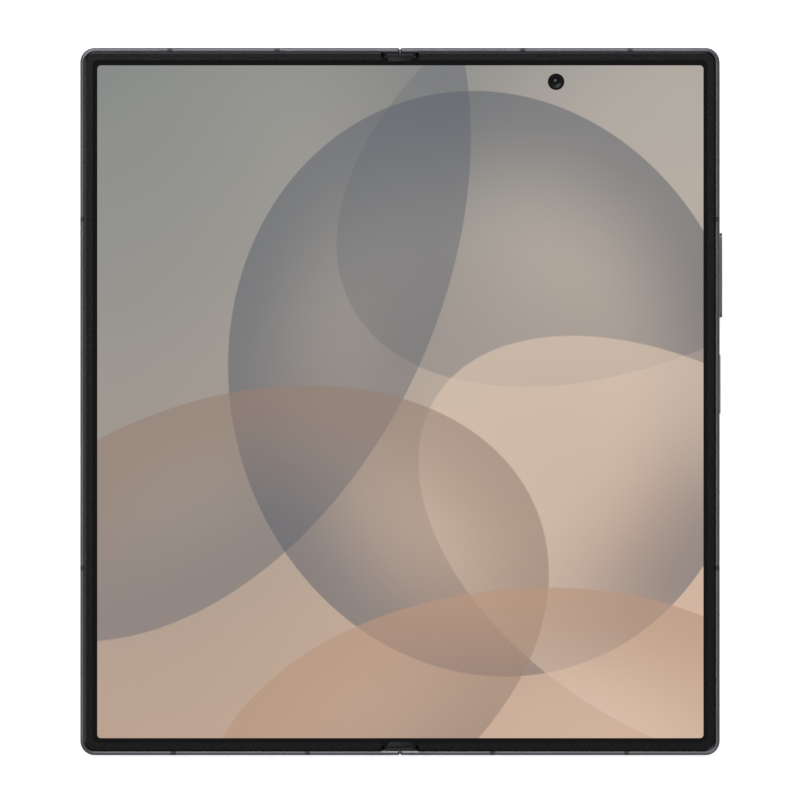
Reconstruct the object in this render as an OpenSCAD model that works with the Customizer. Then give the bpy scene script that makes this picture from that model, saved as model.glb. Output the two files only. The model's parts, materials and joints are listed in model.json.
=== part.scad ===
// Book-style foldable phone, lying open and flat with its display up.
// +X runs to the right across both halves, +Y to the top edge, +Z out of the display.
// The rear half (x > 0) carries the cameras, the cover half (x < 0) the outer display,
// and a narrow spine between them carries the two fold axes, which run along Y.

/* [Body] */
// Width of the phone when it is open flat
open_w = 143.2; // [142:0.1:146]
// Height of the phone along the fold
body_h = 158.4; // [156:0.1:162]
// Thickness of the open phone without its camera island
body_t = 4.2; // [4.2:0.1:4.6]
// Radius of the four outer corners, seen from the front
corner_r = 3.2; // [3:0.1:4]

/* [Frame] */
// Thickness of the frame's outer wall
wall_t = 1.4; // [1.4:0.05:1.6]
// Radius that rounds the frame's outer edges
edge_r = 0.6; // [0.4:0.05:0.65]
// Width of the frame's rim that shows beside the trim
rim_w = 0.85; // [0.8:0.05:0.95]
// Width of the ledge inside the wall, which the panels are glued to
ledge_w = 1.2; // [1:0.1:1.4]
// Width of each plastic antenna break
break_w = 1.1; // [0.8:0.1:1.4]

/* [Display] */
// Width of the raised trim round the display
trim_w = 2.1; // [1.9:0.05:2.2]
// Width of the groove between the frame's rim and the trim
groove_w = 0.05; // [0.05:0.05:0.15]
// Half width of the display zone that bends
bend_x = 7; // [6.9:0.1:7]
// Radius of the front camera's opening in the display
punch_r = 1.85; // [1.6:0.05:2]

/* [Hinge] */
// Distance of each fold axis from the centre line
axis_x = 1.25; // [1.25:0.05:1.3]
// Depth of the fold axes below the front face
axis_depth = 1.0; // [0.95:0.05:1]
// Thickness of the metal strip that passes behind the spine
back_wall = 0.6; // [0.55:0.05:0.6]
// Running gap between the spine and the halves
spine_gap = 0.15; // [0.12:0.01:0.15]
// Teeth on each synchronising gear
gear_teeth = 10; // [10:2:10]
// How far the floor plate drops when the phone is folded shut
floor_drop = 0.5; // [0.3:0.1:0.5]
// Angle that each wing plate tilts when the phone is folded shut
wing_tilt = 12.7; // [8:0.1:12.7]

/* [Camera island] */
// Width of the camera island
island_w = 17.6; // [17:0.1:18]
// Height of the island above the back glass
island_h = 1.4; // [1:0.1:1.6]
// Height of the lens rings above the island
ring_h = 1.0; // [0.6:0.1:1.2]
// Distance between neighbouring rear lenses
lens_pitch = 17.5; // [17:0.1:18]

/* [Keys and ports] */
// Length of the volume key
volume_l = 18.9; // [16:0.1:20]
// Length of the power key
power_l = 13.25; // [12:0.05:14]
// Width of the card tray across the opening
tray_w = 14.0; // [13:0.1:14.5]
// Inner width of the charging socket
port_w = 8.34; // [8.3:0.01:8.4]
// Inner height of the charging socket
port_h = 2.5; // [2.4:0.01:2.56]

/* [Hidden] */
$fn = 64;
eps = 0.01;

// The open phone stands on its lens rings, so the body is lifted by their height.
lens_drop = island_h + ring_h;
half_w = open_w / 2;
half_h = body_h / 2;

// Heights above the back face.
glass_t = 0.55;
inner_z = 0.6;
plate_z0 = 2.95;
plate_z1 = body_t - 0.85;
panel_z0 = body_t - 0.8;
panel_z1 = body_t - 0.4;
trim_z0 = panel_z1;
trim_z1 = body_t;

// The rim stands lower than the trim, and the trim rests over a rebate behind it.
rim_z = body_t - 0.1;
rim_fall = 0.12;
rebate_z = trim_z0 - 0.05;

// Insets from the outer edge.
glass_inset = 1.05;
ledge_in = wall_t + ledge_w;
plate_inset = wall_t + 0.05;
panel_inset = wall_t + 0.2;
trim_inset = rim_w + groove_w;
trim_outer_r = corner_r - trim_inset;
trim_inner_r = 1.1;

// Hinge.
axis_z = body_t - axis_depth;
spine_r = axis_z - back_wall - spine_gap;
spine_t = 0.3;
spine_z0 = back_wall + spine_gap;
spine_top = axis_z - 0.05;
bay_r = spine_r + spine_gap;
bay_x = axis_x + bay_r;
seam = 0.02;
end_wall_t = 1.08;
bay_y = half_h - end_wall_t;
spine_y = bay_y - 0.3;
strip_w = 2.6;
rail_x = bend_x + 0.3;
wing_pivot_x = bend_x - 0.1;
wing_z0 = axis_z;
wing_t = 0.15;
wing_pivot_z = wing_z0 + wing_t / 2;
wing_x0 = 2.0;
wing_y = half_h - 3.2;
trim_end_x = 4.2;
pad_x = 2.65;

// Hinge modules: the outer two hold the gears, and all three hold the swing arms.
gear_modules = [-50, 50];
arm_modules = [-50, 0, 50];
module_half = 11;
module_gap = 0.3;
gear_bay = 1.45;
tongue_r0 = 1.45;
tongue_r1 = 1.95;
tongue_gap = 0.05;
tongue_y0 = 6;
tongue_y1 = 10;
arm_z0 = 2.05;
arm_z1 = 2.45;
sync_arm_z1 = 2.35;
bracket_z0 = 1.55;
bracket_x0 = bay_x + 0.1;
base_step_x = 1.9;
base_top = 2.5;
notch_z = 2.0;

// Pins that guide the floor plate as it sinks.
guide_pins_y = [-4, 4];
guide_pin_r = 0.25;
guide_pin_z0 = 1.95;

// Gears.
gear_x = 1.8;
gear_z = 1.93;
pitch_r = (2 * gear_x) / 6;
idler_x = gear_x - 2 * pitch_r;
root_r = pitch_r - 0.16;
tip_r = pitch_r + 0.11;
// A tooth's flank as radius and angle, from its foot to its tip.
tooth_flank = [[root_r - 0.05, 11], [pitch_r, 7.2], [tip_r, 3]];
gear_w = 2.4;
shaft_r = 0.2;
gear_bore_r = 0.24;

// Hinge screws: four through each bracket, with round heads.
hinge_screws_at = [[6.3, -8], [6.3, -3.2], [6.3, 3.2], [6.3, 8]];
screw_r = 0.45;
screw_head_r = 0.8;
screw_head_t = 0.3;
screw_z0 = 1.0;

// Places on the rear half.
lens_x = 58;
lens_y = [62, 62 - lens_pitch, 62 - 2 * lens_pitch];
inner_camera_at = [34.95, 71.6];
cover_camera_at = [36, 71.6];
flash_at = [43.5, 60];
top_breaks = [27.5, 51.5];
bottom_breaks = [20.7, 50.7];
side_breaks = [40.8, -37.3];
volume_y = 28.3;
volume_out = 0.58;
power_y = 3.9;
power_out = 0.2;
key_h = 1.9;
switch_r = 0.8;
key_gap = 0.06;
port_x = 36;
port_wall = 0.15;
port_z = glass_t + 0.03 + port_wall + port_h / 2;
port_depth = 7;
speaker_holes_x = [54.5:2:64.5];
speaker_hole_r = 0.55;
microphones_x = [26, 45.5];
microphone_r = 0.35;
earpiece_holes_x = [-24:2.4:-19.2];
earpiece_hole_r = 0.4;
tray_y = -12;
tray_z = 1.75;
tray_t = 1.3;
tray_l = 19;

// What the two halves hold inside.
battery_lo = [9.6, -60];
battery_hi = [39.2, 52];
battery_z0 = 0.9;
battery_z1 = 2.9;
board_z0 = 1.3;
board_z1 = 1.65;
shield_z1 = 2.7;
board_screw_r = 0.6;
boss_r = 0.9;
boss_bore_r = 0.45;
rear_bosses = [[43, 74], [66.6, 74], [43, -16], [66.6, -16]];
cover_bosses = [[43, 4], [66.6, 4], [43, 64], [66.6, 64]];
flex_window_at = [24.4, -67];
flex_window_l = 18;
flex_window_w = 3;
coil_at = [24.4, -4];
coil_turns = 8;
coil_r0 = 6.5;
coil_pitch = 1.05;
coil_wire = [0.8, 0.2];
camera_body_w = 12.4;
barrel_r = 5.2;
lens_r = 3.6;
cover_lens_r = 5.65;
island_hole_r = 5.5;
flash_r = 2.15;
small_camera_w = 6;

// ---- shared shapes -------------------------------------------------------

// Lifts the body so that the lens rings stand on the ground.
module lifted() {
    translate([0, 0, lens_drop]) children();
}

// A box from its low corner to its high corner.
module box(lo, hi) {
    translate(lo) cube(hi - lo);
}

// Extrudes a section drawn in x and z along Y.
module along_y(y0, y1) {
    translate([0, y1, 0]) rotate([90, 0, 0]) linear_extrude(y1 - y0) children();
}

// A round bar along Y, or the tool that bores a hole along it.
module rod_y(x, z, r, y0, y1) {
    translate([x, y0, z]) rotate([-90, 0, 0]) cylinder(r = r, h = y1 - y0);
}

module both_ends() {
    children();
    mirror([0, 1, 0]) children();
}

// Turns a piece of the rear half into its twin on the cover half.
module on_cover() {
    mirror([1, 0, 0]) children();
}

// Outline of a half from the front, from x0 out to its inset edge.
module half_plan(x0, inset, r) {
    x1 = half_w - inset;
    y1 = half_h - inset;
    translate([x0, -y1]) square([x1 - r - x0, 2 * y1]);
    translate([x0, r - y1]) square([x1 - x0, 2 * (y1 - r)]);
    for (s = [-1, 1]) {
        translate([x1 - r, s * (y1 - r)]) circle(r);
    }
}

// Sweeps a section round a half's three free sides, starting at x0.
// The section's x is the distance from the centre of the corner.
module sweep_half(x0, inset, r) {
    cx = half_w - inset - r;
    cy = half_h - inset - r;
    along_y(-cy, cy) translate([cx, 0]) children();
    both_ends() {
        translate([cx, cy, 0]) rotate_extrude(angle = 90) children();
        translate([x0, cy, 0]) rotate([90, 0, 90]) linear_extrude(cx - x0) children();
    }
}

// A flat bar with two round ends, long along y.
module stadium(l, w) {
    square([w, l - w], center = true);
    for (s = [-1, 1]) {
        translate([0, s * (l - w) / 2]) circle(w / 2);
    }
}

// A rectangle with rounded corners, between two corners.
module round_rect(lo, hi, r) {
    translate([lo[0] + r, lo[1]]) square([hi[0] - lo[0] - 2 * r, hi[1] - lo[1]]);
    translate([lo[0], lo[1] + r]) square([hi[0] - lo[0], hi[1] - lo[1] - 2 * r]);
    for (x = [lo[0] + r, hi[0] - r], y = [lo[1] + r, hi[1] - r]) {
        translate([x, y]) circle(r);
    }
}

// A flat piece with rounded corners in plan, between two heights.
module slab(lo, hi, r) {
    translate([0, 0, lo[2]]) linear_extrude(hi[2] - lo[2]) round_rect(lo, hi, r);
}

// ---- frame ---------------------------------------------------------------

// The frame's outer wall: a round rim that slopes inward to the trim, a rebate
// behind it, a round back edge, and a step that the back panel sits in.
module wall_section() {
    crest_x = wall_t - edge_r;
    rim_x = wall_t - rim_w;
    translate([corner_r - wall_t, 0]) difference() {
        union() {
            square([crest_x, rim_z]);
            translate([0, edge_r]) square([wall_t, rim_z - 2 * edge_r]);
            for (z = [edge_r, rim_z - edge_r]) {
                translate([crest_x, z]) circle(edge_r);
            }
        }
        polygon([
            [-eps, rebate_z], [rim_x, rebate_z], [rim_x, rim_z - rim_fall], [crest_x, rim_z],
            [crest_x, rim_z + eps], [-eps, rim_z + eps]
        ]);
        translate([-eps, -eps]) square([wall_t - glass_inset + 0.05 + eps, inner_z + eps]);
    }
}

// The rim beside the fold, where it is wider because no trim lies behind it.
module end_rim() {
    both_ends() translate([seam, half_h, 0]) rotate([90, 0, 90]) linear_extrude(trim_end_x - 0.05 - seam) {
        polygon([
            [-end_wall_t, rebate_z - eps], [-edge_r, rebate_z - eps], [-edge_r, rim_z],
            [-end_wall_t, rim_z - rim_fall]
        ]);
    }
}

module ledge_section() {
    translate([corner_r - ledge_in, inner_z]) square([ledge_w + eps, plate_z0 - inner_z]);
}

// The bar beside the spine: a thin strip that passes behind it, a hollow
// flank that follows its curve, and a top that slopes under the wing plate.
module rail_section() {
    slope = tan(wing_tilt + 1);
    top_at_bay = wing_z0 - 0.1 - (wing_pivot_x - bay_x) * slope;
    difference() {
        polygon([
            [seam, 0], [strip_w, 0], [strip_w, inner_z], [rail_x, inner_z],
            [rail_x, plate_z0], [bay_x - eps, top_at_bay], [seam, top_at_bay]
        ]);
        bay_section();
    }
}

// Clear space for the spine inside a half, at every fold angle.
module bay_section() {
    translate([axis_x, axis_z]) circle(bay_r);
    translate([-1, back_wall]) square([1 + axis_x, body_t]);
    translate([-1, axis_z]) square([1 + bay_x, body_t]);
}

// Rounds the inner ends of the top and bottom walls about the fold axis, so
// that the two halves roll past each other, and rounds them in plan.
module wall_end_cuts() {
    roll_r = axis_x - seam;
    end_r = 0.5;
    both_ends() {
        along_y(bay_y - eps, half_h + 1) difference() {
            translate([-1, axis_z]) square([1 + axis_x, body_t]);
            translate([axis_x, axis_z]) circle(roll_r);
        }
        translate([0, 0, -1]) linear_extrude(body_t + 2) difference() {
            translate([seam - 1, half_h - end_r]) square([1 + end_r, end_r + 1]);
            translate([seam + end_r, half_h - end_r]) circle(end_r);
        }
    }
}

// The slots that split the wall into antenna segments.
module break_slots() {
    w = break_w / 2;
    for (x = top_breaks) {
        box([x - w, half_h - wall_t, -1], [x + w, half_h + 1, body_t + 1]);
    }
    for (x = bottom_breaks) {
        box([x - w, -half_h - 1, -1], [x + w, wall_t - half_h, body_t + 1]);
    }
    for (y = side_breaks) {
        box([half_w - wall_t, y - w, -1], [half_w + 1, y + w, body_t + 1]);
    }
}

// Pockets for the hinge brackets, beside the spine.
module bracket_pockets() {
    for (y = arm_modules) {
        box([bay_x - 0.6, y - module_half - 0.2, bracket_z0], [rail_x + 1, y + module_half + 0.2, body_t]);
        for (s = hinge_screws_at) {
            translate([s[0], y + s[1], screw_z0]) cylinder(r = screw_r, h = 1);
        }
    }
}

module half_frame() {
    difference() {
        union() {
            sweep_half(seam, 0, corner_r) wall_section();
            sweep_half(seam, 0, corner_r) ledge_section();
            end_rim();
            along_y(-bay_y, bay_y) rail_section();
            both_ends() box([seam, bay_y - 0.1, 0], [strip_w, half_h - edge_r - 0.1, inner_z]);
        }
        along_y(-bay_y, bay_y) bay_section();
        wall_end_cuts();
        break_slots();
        bracket_pockets();
    }
}

module antenna_breaks() {
    intersection() {
        sweep_half(seam, 0, corner_r) wall_section();
        break_slots();
    }
}

// ---- keys ----------------------------------------------------------------

// A key's outline seen from the side: long along y, round at both ends.
module key_bar(y, l, x0, x1, grow) {
    translate([x0, y, body_t / 2]) rotate([0, 90, 0]) linear_extrude(x1 - x0) {
        stadium(l + 2 * grow, key_h + 2 * grow);
    }
}

module key(y, l, out) {
    flange_x = half_w - wall_t - 0.1;
    key_bar(y, l, flange_x, half_w + out, 0);
    key_bar(y, l, flange_x - 0.35, flange_x, 0.25);
}

// Everything that the keys need cut from the frame.
module key_cuts() {
    wall_x = half_w - wall_t;
    key_bar(volume_y, volume_l, wall_x - 0.5, half_w + 1, key_gap);
    key_bar(power_y, power_l, wall_x - 0.5, half_w + 1, key_gap);
    key_pocket();
}

// The room behind the wall for the key flanges and the switches.
module key_pocket() {
    box([half_w - ledge_in - 1, power_y - power_l / 2 - 1, 0.8],
        [half_w - wall_t, volume_y + volume_l / 2 + 1, panel_z0 - 0.05]);
}

// ---- rear half -----------------------------------------------------------

module port_outline(grow) {
    translate([port_x, port_z]) rotate(90) stadium(port_w + 2 * grow, port_h + 2 * grow);
}

module rear_frame() color("dimgray") lifted() difference() {
    half_frame();
    key_cuts();
    along_y(-half_h - 1, ledge_in - half_h + 1) port_outline(port_wall);
    for (x = speaker_holes_x) {
        rod_y(x, body_t / 2, speaker_hole_r, -half_h - 1, ledge_in - half_h + 1);
    }
    for (x = microphones_x) {
        rod_y(x, body_t / 2, microphone_r, -half_h - 1, ledge_in - half_h + 1);
    }
}

module rear_antenna_breaks() color("slategray") lifted() antenna_breaks();

// The plate that carries the display, with the walls of the battery bay below
// it, bosses that the board is screwed to, and a window for the display's lead.
module midplate(bosses) {
    difference() {
        union() {
            translate([0, 0, plate_z0]) linear_extrude(plate_z1 - plate_z0) {
                half_plan(rail_x + 0.05, plate_inset, corner_r - plate_inset);
            }
            battery_walls();
            for (at = bosses) {
                translate([at[0], at[1], board_z1]) cylinder(r = boss_r, h = plate_z0 - board_z1 + eps);
            }
        }
        for (at = bosses) {
            translate([at[0], at[1], 0]) cylinder(r = boss_bore_r, h = body_t);
        }
        translate([flex_window_at[0], flex_window_at[1], 0]) linear_extrude(body_t) rotate(90) {
            stadium(flex_window_l, flex_window_w);
        }
    }
}

module battery_walls() {
    t = 0.6;
    gap = 0.15;
    lo = battery_lo - [gap, gap];
    hi = battery_hi + [gap, gap];
    translate([0, 0, battery_z0]) linear_extrude(plate_z0 - battery_z0 + eps) difference() {
        round_rect(lo - [t, t], hi + [t, t], 2.2);
        round_rect(lo, hi, 1.6);
    }
}

module rear_midplate() color("gray") lifted() difference() {
    midplate(rear_bosses);
    translate([inner_camera_at[0], inner_camera_at[1], 0]) cylinder(r = 2.2, h = body_t);
    key_pocket();
    along_y(-half_h, port_depth + 0.6 - half_h) port_outline(port_wall + 0.1);
}

module rear_back_glass() color([0.12, 0.12, 0.13]) lifted() difference() {
    linear_extrude(glass_t) half_plan(strip_w + 0.05, glass_inset, corner_r - glass_inset);
    for (y = lens_y) {
        translate([lens_x, y, -1]) cylinder(r = island_hole_r, h = 3);
    }
    translate([flash_at[0], flash_at[1], -1]) cylinder(r = flash_r + 0.05, h = 3);
}

// The outer part of the trim: flat, with a slope that falls to the rim.
module trim_outer_section(w) {
    slope_w = 0.45;
    slope_fall = 0.2;
    translate([trim_outer_r - w, 0]) polygon([
        [0, trim_z0], [w, trim_z0], [w, trim_z1 - slope_fall], [w - slope_w, trim_z1], [0, trim_z1]
    ]);
}

// The inner part of the trim: flat, with a bevel that falls to the display.
module trim_inner_section(w) {
    bevel = 0.28;
    translate([trim_inner_r, 0]) polygon([
        [0, trim_z0], [w, trim_z0], [w, trim_z1], [bevel, trim_z1], [0, trim_z1 - bevel]
    ]);
}

// The trim, in two overlapping rings, because its inner corners are sharper
// than a ring of even width would have them.
module bezel_trim() {
    outer_w = trim_w - 0.2;
    inner_w = 0.9;
    sweep_half(trim_end_x, trim_inset, trim_outer_r) trim_outer_section(outer_w);
    sweep_half(trim_end_x, trim_inset + trim_w - inner_w, trim_inner_r + inner_w) trim_inner_section(inner_w);
}

module display_panel() {
    translate([0, 0, panel_z0]) linear_extrude(panel_z1 - panel_z0) {
        half_plan(bend_x, panel_inset, corner_r - panel_inset);
    }
}

module rear_bezel_trim() color([0.14, 0.14, 0.15]) lifted() bezel_trim();

module main_display_right() color("rosybrown") lifted() difference() {
    display_panel();
    translate([inner_camera_at[0], inner_camera_at[1], 0]) cylinder(r = punch_r, h = body_t + 1);
}

// A stadium-shaped pad that stands below the back face, with a round rim.
module camera_island() color("dimgray") lifted() difference() {
    mid = (lens_y[0] + lens_y[2]) / 2;
    run = lens_y[0] - lens_y[2];
    translate([lens_x, mid, 0]) {
        along_y(-run / 2, run / 2) {
            island_section();
            mirror([1, 0]) island_section();
        }
        for (s = [-1, 1]) {
            translate([0, s * run / 2, 0]) rotate_extrude() island_section();
        }
    }
    for (y = lens_y) {
        translate([lens_x, y, -island_h - 1]) cylinder(r = island_hole_r, h = island_h + 2);
    }
}

module island_section() {
    r = 0.6;
    w = island_w / 2;
    translate([0, -island_h]) {
        square([w - r, island_h]);
        translate([0, r]) square([w, island_h - r]);
        translate([w - r, r]) circle(r);
    }
}

// A round metal rim round each rear lens.
module lens_rings() color("silver") lifted() {
    ring_r0 = 5.7;
    ring_r1 = 6.8;
    r = 0.25;
    for (y = lens_y) {
        translate([lens_x, y, -lens_drop]) rotate_extrude() {
            translate([ring_r0, r]) square([ring_r1 - ring_r0, ring_h - r]);
            translate([ring_r0 + r, 0]) square([ring_r1 - ring_r0 - 2 * r, ring_h]);
            for (x = [ring_r0 + r, ring_r1 - r]) {
                translate([x, r]) circle(r);
            }
        }
    }
}

module lens_covers() color([0.05, 0.05, 0.07]) lifted() {
    for (y = lens_y) {
        translate([lens_x, y, -lens_drop + 0.35]) cylinder(r = cover_lens_r, h = 0.3);
    }
}

// Each camera: a square body on the board and a stepped barrel through the island.
module camera_modules() color("darkslategray") lifted() {
    w = camera_body_w / 2;
    for (y = lens_y) {
        slab([lens_x - w, y - w, inner_z + 0.05], [lens_x + w, y + w, plate_z0 - 0.1], 0.8);
        translate([lens_x, y, -1.2]) cylinder(r = barrel_r, h = 2);
        translate([lens_x, y, -1.65]) cylinder(r = lens_r, h = 0.5);
    }
}

module flash_window() color("ivory") lifted() {
    translate([flash_at[0], flash_at[1], 0]) cylinder(r = flash_r, h = glass_t + 0.3);
}

module inner_camera() color([0.06, 0.06, 0.08]) lifted() {
    w = small_camera_w / 2;
    translate([inner_camera_at[0], inner_camera_at[1], 0]) {
        slab([-w, -w, 1.6], [w, w, plate_z0 - 0.1], 0.5);
        translate([0, 0, 2.8]) cylinder(r = punch_r - 0.1, h = panel_z1 - 2.85);
    }
}

// Cuts a square opening through a board, round a module at a point.
module board_opening(at, w, r) {
    slab([at[0] - w / 2, at[1] - w / 2, 0], [at[0] + w / 2, at[1] + w / 2, body_t], r);
}

module board_screw_holes(places) {
    for (at = places) {
        translate([at[0], at[1], 0]) cylinder(r = board_screw_r, h = body_t);
    }
}

module main_board() color("darkgreen") lifted() difference() {
    union() {
        slab([41, -18, board_z0], [68.6, 76, board_z1], 1);
        slab([24, 56, board_z0], [45, 76, board_z1], 1);
    }
    for (y = lens_y) {
        board_opening([lens_x, y], camera_body_w + 0.4, 0.8);
    }
    board_opening(flash_at, 2 * flash_r + 0.5, 0.5);
    board_opening(inner_camera_at, small_camera_w + 0.4, 0.5);
    board_screw_holes(rear_bosses);
}

// A thin metal can over part of a board.
module shield(lo, hi) {
    slab([lo[0], lo[1], board_z1], [hi[0], hi[1], shield_z1], 0.6);
}

module board_shields() color("silver") lifted() {
    shield([42, -15], [67.5, 16]);
    shield([42, 18], [50.5, 55]);
    shield([25, 57.5], [30.5, 75]);
}

module battery() {
    slab([battery_lo[0], battery_lo[1], battery_z0], [battery_hi[0], battery_hi[1], battery_z1], 1.5);
}

module rear_battery() color([0.2, 0.2, 0.22]) lifted() battery();

module charging_coil() color("peru") lifted() {
    translate([coil_at[0], coil_at[1], inner_z]) for (i = [0:coil_turns - 1]) {
        rotate_extrude() translate([coil_r0 + i * coil_pitch, 0]) square(coil_wire);
    }
}

// The charging socket: a thin shell, a back wall and the contact tongue.
module usb_port() color("silver") lifted() {
    y0 = -half_h + 0.3;
    back_t = 0.6;
    tongue_w = 6.6;
    tongue_t = 0.66;
    tongue_set_back = 1.2;
    difference() {
        along_y(y0, y0 + port_depth) port_outline(port_wall);
        along_y(y0 - 1, y0 + port_depth - back_t) port_outline(0);
    }
    box([port_x - tongue_w / 2, y0 + tongue_set_back, port_z - tongue_t / 2],
        [port_x + tongue_w / 2, y0 + port_depth - back_t + 0.1, port_z + tongue_t / 2]);
}

module loudspeaker() color([0.1, 0.1, 0.1]) lifted() {
    slab([50, -76.4, 0.7], [68.6, -62, 2.85], 1.2);
}

module vibration_motor() color("lightsteelblue") lifted() {
    slab([43, -50, 0.7], [53, -36, 2.8], 0.8);
}

module key_switches() color("goldenrod") lifted() {
    x1 = half_w - wall_t - 0.8;
    box([x1 - 0.25, power_y - 6, 1.0], [x1, volume_y + 9, 2.9]);
    for (y = [power_y, volume_y - 6, volume_y + 6]) {
        translate([x1, y, body_t / 2 - 0.15]) rotate([0, 90, 0]) cylinder(r = switch_r, h = 0.05);
    }
}

module volume_key() color("dimgray") lifted() key(volume_y, volume_l, volume_out);

module power_key() color("dimgray") lifted() key(power_y, power_l, power_out);

// ---- hinge ---------------------------------------------------------------

// Part of a ring in the x-z plane, from angle a0 to a1 about the fold axis.
module ring_sector(r0, r1, a0, a1) {
    reach = 2 * r1;
    steps = 6;
    intersection() {
        difference() {
            circle(r1);
            circle(r0);
        }
        polygon(concat(
            [[0, 0]],
            [for (i = [0:steps]) let (a = a0 + (a1 - a0) * i / steps) [reach * cos(a), reach * sin(a)]]
        ));
    }
}

// A swing arm: a curved tongue about the fold axis, and the plate that ties
// it to the bracket through the gap above the spine's notch.
module swing_arm(y0, y1) {
    tie_x = axis_x + tongue_r0;
    along_y(y0, y1) {
        translate([axis_x, axis_z]) ring_sector(tongue_r0, tongue_r1, -170, -25);
        translate([tie_x, arm_z0]) square([bracket_x0 - tie_x + 0.2, arm_z1 - arm_z0]);
    }
}

// A block that is screwed to the half, with its swing arm and a slot in which
// the geared arm slides.
module bracket(y, side) {
    x1 = rail_x - 0.05;
    mid = y + side * (tongue_y0 + tongue_y1) / 2;
    arm_half = (tongue_y1 - tongue_y0) / 2;
    difference() {
        box([bracket_x0, y - module_half, bracket_z0], [x1, y + module_half, arm_z1]);
        box([bracket_x0 - 1, y - gear_w / 2 - 0.3, 1.8], [x1 - 0.6, y + gear_w / 2 + 0.3, 4]);
        for (s = hinge_screws_at) {
            translate([s[0], y + s[1], 0]) cylinder(r = screw_r, h = 4);
            translate([s[0], y + s[1], arm_z1 - screw_head_t]) cylinder(r = screw_head_r + 0.05, h = 4);
        }
    }
    swing_arm(mid - arm_half, mid + arm_half);
}

module hinge_screws() {
    head_z = arm_z1 - screw_head_t;
    for (y = arm_modules, s = hinge_screws_at) {
        translate([s[0], y + s[1], screw_z0]) cylinder(r = screw_r, h = head_z - screw_z0);
        translate([s[0], y + s[1], head_z]) difference() {
            cylinder(r = screw_head_r, h = screw_head_t);
            translate([0, 0, screw_head_t / 2]) cylinder(r = 0.35, h = screw_head_t, $fn = 6);
        }
    }
}

module rear_hinge_brackets() color("lightslategray") lifted() {
    for (y = arm_modules) {
        bracket(y, -1);
    }
}

module rear_hinge_screws() color("black") lifted() hinge_screws();

// A support plate under the bending display, notched round the hinge modules.
// It tilts about its outer edge, which is rolled round.
module wing_plate() {
    notch_l = 2 * (module_half + module_gap);
    translate([0, 0, wing_z0]) linear_extrude(wing_t) difference() {
        translate([wing_x0, -wing_y]) square([wing_pivot_x - wing_x0, 2 * wing_y]);
        for (y = arm_modules) {
            translate([wing_x0 - 1, y - notch_l / 2]) square([5.4, notch_l]);
        }
    }
    rod_y(wing_pivot_x, wing_pivot_z, wing_t / 2, -wing_y, wing_y);
}

module rear_wing_plate() color("darkgray") lifted() wing_plate();

// Outer shape of the spine in the x-z plane, inset by t.
module spine_section(t) {
    intersection() {
        union() {
            for (s = [-1, 1]) {
                translate([s * axis_x, axis_z]) circle(spine_r - t);
            }
            translate([-axis_x, spine_z0 + t]) square([2 * axis_x, axis_z]);
        }
        translate([-spine_r - axis_x, 0]) square([2 * (spine_r + axis_x), spine_top]);
    }
}

module spine_cover() color("slategray") lifted() difference() {
    along_y(-spine_y, spine_y) spine_section(0);
    along_y(-spine_y - 1, spine_y + 1) translate([0, eps]) spine_section(spine_t);
    along_y(-spine_y - 1, spine_y + 1) translate([-2, 2]) square([4, 4]);
    for (y = arm_modules) {
        box([-5, y - module_half - module_gap, notch_z], [5, y + module_half + module_gap, 5]);
    }
}

// One hinge base: a block that fills the spine, with the curved grooves for
// the swing arms, a bay for the gears and holes for the floor plate's pins.
module hinge_base(y, geared) {
    difference() {
        along_y(y - module_half, y + module_half) intersection() {
            spine_section(spine_t + 0.05);
            union() {
                translate([-base_step_x, 0]) square([2 * base_step_x, base_top]);
                translate([-4, 0]) square([8, notch_z]);
            }
        }
        for (s = [-1, 1]) {
            mid = y - s * (tongue_y0 + tongue_y1) / 2;
            along_y(mid - 2.1, mid + 2.1) translate([s * axis_x, axis_z]) difference() {
                circle(tongue_r1 + tongue_gap);
                circle(tongue_r0 - tongue_gap);
            }
        }
        if (geared) {
            box([-4, y - gear_bay, 0], [4, y + gear_bay, 4]);
            gear_axes(y - module_half - 1, y + module_half + 1, shaft_r);
        }
        for (dy = guide_pins_y) {
            translate([0, y + dy, guide_pin_z0 - floor_drop - 0.25]) cylinder(r = guide_pin_r + 0.05, h = 3);
        }
    }
}

module hinge_bases() color("gainsboro") lifted() {
    for (y = arm_modules) {
        hinge_base(y, len(search(y, gear_modules)) > 0);
    }
}

// Cylinders on the four gear axes.
module gear_axes(y0, y1, r) {
    for (x = [-gear_x, -idler_x, idler_x, gear_x]) {
        rod_y(x, gear_z, r, y0, y1);
    }
}

module gear_shafts() color("silver") lifted() {
    for (y = gear_modules) {
        gear_axes(y - 3.2, y + 3.2, shaft_r);
    }
}

// The teeth of a straight-cut gear in the x-z plane, at phase plus whole steps.
module gear_teeth_2d(phase, first, last) {
    step = 360 / gear_teeth;
    left = [for (p = tooth_flank) p[0] * [cos(p[1]), sin(p[1])]];
    right = [for (i = [2:-1:0]) [left[i][0], -left[i][1]]];
    for (i = [first:last]) {
        rotate(phase + i * step) polygon(concat(left, right));
    }
}

module gear_2d(phase) {
    difference() {
        union() {
            circle(root_r);
            gear_teeth_2d(phase, 0, gear_teeth - 1);
        }
        circle(gear_bore_r);
    }
}

// A gear sector with a flat arm that slides in the half's bracket.
module sync_arm(phase) {
    tip_x = 6.0;
    for (y = gear_modules) {
        along_y(y - gear_w / 2, y + gear_w / 2) difference() {
            union() {
                translate([gear_x, gear_z]) {
                    circle(root_r);
                    gear_teeth_2d(phase, -2, 2);
                }
                polygon([
                    [gear_x, gear_z - root_r * 0.9], [gear_x + 1.1, arm_z0], [tip_x, arm_z0],
                    [tip_x, sync_arm_z1], [gear_x + 0.25, sync_arm_z1], [gear_x, gear_z + root_r * 0.9]
                ]);
            }
            translate([gear_x, gear_z]) circle(gear_bore_r);
        }
    }
}

module idler_gears(x, phase) {
    for (y = gear_modules) {
        along_y(y - gear_w / 2, y + gear_w / 2) translate([x, gear_z]) gear_2d(phase);
    }
}

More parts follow.
